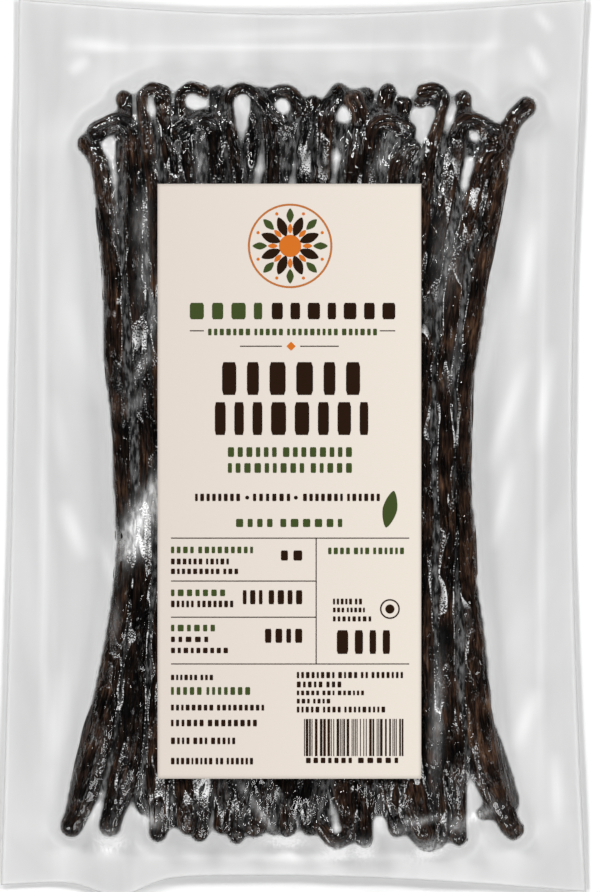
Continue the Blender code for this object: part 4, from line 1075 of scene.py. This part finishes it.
def inkHeight(x):
    face = labelTop(x)
    return face + printing["lift"], face - printing["sink"]


def inkBlocks(boxes, columns, cut):
    # each box is a closed plate of columns; its half height is cut at the first and last one
    boxes = np.array(boxes)
    u = np.linspace(-1.0, 1.0, columns)
    if cut < 1.0:
        u = np.sign(u) * np.abs(u) ** printing["roundness"]
    half = np.where(np.abs(u) > 0.999, cut, 1.0)
    x = (boxes[:, 0] + boxes[:, 1])[:, None] / 2 + (boxes[:, 1] - boxes[:, 0])[:, None] / 2 * u
    middle, reach = (boxes[:, 2] + boxes[:, 3]) / 2, (boxes[:, 3] - boxes[:, 2]) / 2
    low, high = (middle[:, None] + side * reach[:, None] * half for side in (-1, 1))
    layers = [np.stack([x, y, z], axis=2) for z in inkHeight(x) for y in (low, high)]
    points = np.stack(layers, axis=1).reshape(-1, 3)
    shift = 4 * columns * np.arange(len(boxes))[:, None, None]
    return points, (sheetFaces(2, columns)[None] + shift).reshape(-1, 4).tolist()


def inkShape(x, y, halfLong, halfWide, tilt, power):
    # outline: cosine and sine raised to two over the power, filled by a fan on each face
    sides = printing["shapeSides"]
    angle = np.linspace(0, 2 * math.pi, sides, endpoint=False)
    long = halfLong * np.sign(np.cos(angle)) * np.abs(np.cos(angle)) ** (2 / power)
    wide = halfWide * np.sign(np.sin(angle)) * np.abs(np.sin(angle)) ** (2 / power)
    turn = math.radians(tilt)
    pointsX = np.append(x + long * math.cos(turn) - wide * math.sin(turn), x)
    pointsY = np.append(y + long * math.sin(turn) + wide * math.cos(turn), y)
    points = np.concatenate([np.stack([pointsX, pointsY, z], axis=1) for z in inkHeight(pointsX)])
    here = np.arange(sides)
    ahead = np.roll(here, -1)
    below = sides + 1
    fans = np.concatenate([np.stack([here, ahead, np.full(sides, sides)], axis=1),
                           np.stack([ahead, here, np.full(sides, sides)], axis=1) + below])
    walls = np.stack([here, here + below, ahead + below, ahead], axis=1)
    return points, fans.tolist() + walls.tolist()


def inkRing(x, y, inner, outer):
    # four circles, outer and inner, over and under, each joined to the next
    sides = printing["ringSides"]
    angle = np.linspace(0, 2 * math.pi, sides, endpoint=False)
    circles = []
    for radius, layer in ((outer, 0), (inner, 0), (inner, 1), (outer, 1)):
        circleX = x + radius * np.cos(angle)
        circles.append(np.stack([circleX, y + radius * np.sin(angle), inkHeight(circleX)[layer]], axis=1))
    here = np.arange(4 * sides).reshape(4, sides)
    ahead, inward = np.roll(here, -1, axis=1), np.roll(here, -1, axis=0)
    faces = np.stack([here, ahead, np.roll(inward, -1, axis=1), inward], axis=2).reshape(-1, 4)
    return np.concatenate(circles), faces.tolist()


def wordBoxes(left, right, bottom, top, counts, draw):
    # blocks of seeded widths that fill the line from left to right, with spaces between words
    widths = draw.uniform(*printing["blockWidths"], sum(counts))
    gaps = np.full(sum(counts), printing["gap"])
    gaps[np.cumsum(counts) - 1] = printing["space"]
    gaps[-1] = 0.0
    scale = (right - left) / (widths.sum() + gaps.sum())
    if top - bottom < printing["smallLine"]:
        spare = (1 - printing["smallShare"]) * (top - bottom) / 2
        bottom, top = bottom + spare, top - spare
    starts = left + scale * (np.cumsum(widths + gaps) - widths - gaps)
    return [(start, start + scale * width, bottom, top) for start, width in zip(starts, widths)]


def barBoxes(left, right, bottom, top, count, draw):
    edges = np.cumsum(draw.choice(printing["barWidths"], 2 * count - 1))
    edges = left + (right - left) * np.concatenate([[0], edges]) / edges[-1]
    return [(start, stop, bottom, top) for start, stop in zip(edges[:-1:2], edges[1::2])]


def inkMaterial(ink):
    # Offset ink on coated paper: thin, matt to satin, a little paler than its full strength.
    material, tree, shader, output = newMaterial(ink + "OffsetInk")
    shader.inputs["Base Color"].default_value = linearColour(printing["inks"][ink])
    shader.inputs["Roughness"].default_value = printing["roughness"]
    shader.inputs["Specular IOR Level"].default_value = printing["specular"]
    return material


def makePrint():
    draw = np.random.default_rng(printing["seed"])
    parts = {ink: [] for ink in printing["inks"]}
    blocks = {ink: [] for ink in printing["inks"]}
    for *sides, counts, ink in printing["words"]:
        blocks[ink] += wordBoxes(*sides, counts, draw)
    *sides, count, ink = printing["bars"]
    parts[ink].append(inkBlocks(barBoxes(*sides, count, draw), 2, 1.0))
    for *sides, ink in printing["rules"]:
        parts[ink].append(inkBlocks([sides], printing["ruleColumns"], 1.0))
    for *measures, ink in printing["shapes"]:
        parts[ink].append(inkShape(*measures))
    middleX, middleY = printing["rosetteMiddle"]
    for distance, halfLong, halfWide, first, count, power, ink in printing["rosette"]:
        for angle in first + np.arange(count) * 360.0 / count:
            turn = math.radians(angle)
            parts[ink].append(inkShape(middleX + distance * math.cos(turn),
                                       middleY + distance * math.sin(turn),
                                       halfLong, halfWide, angle, power))
    for *measures, ink in printing["rings"]:
        parts[ink].append(inkRing(*measures))
    for ink, pieces in parts.items():
        if blocks[ink]:
            pieces.append(inkBlocks(blocks[ink], printing["blockColumns"], printing["cornerCut"]))
        points, faces, shift = [], [], 0
        for somePoints, someFaces in pieces:
            faces += [[corner + shift for corner in face] for face in someFaces]
            points.append(somePoints)
            shift += len(somePoints)
        piece = newPiece(ink + "Ink", np.concatenate(points), faces, inkMaterial(ink), smooth=False)
        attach(piece, "root")


makeFilm()
report("film drawn over the pods")
makeLabel()
makePrint()
report("label laid on and printed")


# Floor and soft studio light
studio = {
    "floorColour": "#f0f0f0", "floorSize": 3.0, "floorDrop": 0.0002,
    "world": 0.035,
    # place, size across and along, and watts of each light, all facing the pack
    "lights": {
        "keyUpperLeft": ((-0.62, 0.66, 0.85), (0.34, 0.34), 7.6),
        "keyUpperRight": ((0.66, 0.56, 0.85), (0.34, 0.34), 6.2),
        "fillLowerLeft": ((-0.60, -0.66, 0.80), (0.45, 0.45), 5.6),
        "fillLowerRight": ((0.64, -0.62, 0.80), (0.5, 0.5), 5.6),
    },
}


def makeFloor():
    material, tree, shader, output = newMaterial("paleFloor")
    shader.inputs["Base Color"].default_value = linearColour(studio["floorColour"])
    shader.inputs["Roughness"].default_value = 0.8
    half, drop = studio["floorSize"] / 2, -studio["floorDrop"]
    corners = np.array([(-half, -half, drop), (half, -half, drop), (half, half, drop),
                        (-half, half, drop)]) / mm
    floor = newPiece("floor", corners, [(0, 1, 2, 3)], material, smooth=False)


def makeLights():
    for name, (place, size, power) in studio["lights"].items():
        data = bpy.data.lights.new(name, "AREA")
        data.shape = "RECTANGLE"
        data.size, data.size_y = size
        data.energy = power
        lamp = bpy.data.objects.new(name, data)
        lamp.location = place
        towards = -np.array(place)
        lamp.rotation_euler = (math.atan2(math.hypot(towards[0], towards[1]), -towards[2]), 0.0,
                               math.atan2(towards[1], towards[0]) - math.pi / 2)
        bpy.context.scene.collection.objects.link(lamp)
    world = bpy.data.worlds.new("studio")
    world.use_nodes = True
    level = studio["world"]
    world.node_tree.nodes["Background"].inputs["Color"].default_value = (level, level, level, 1.0)
    bpy.context.scene.world = world
    bpy.context.scene.view_settings.view_transform = "Standard"


makeFloor()
makeLights()
report("studio ready")
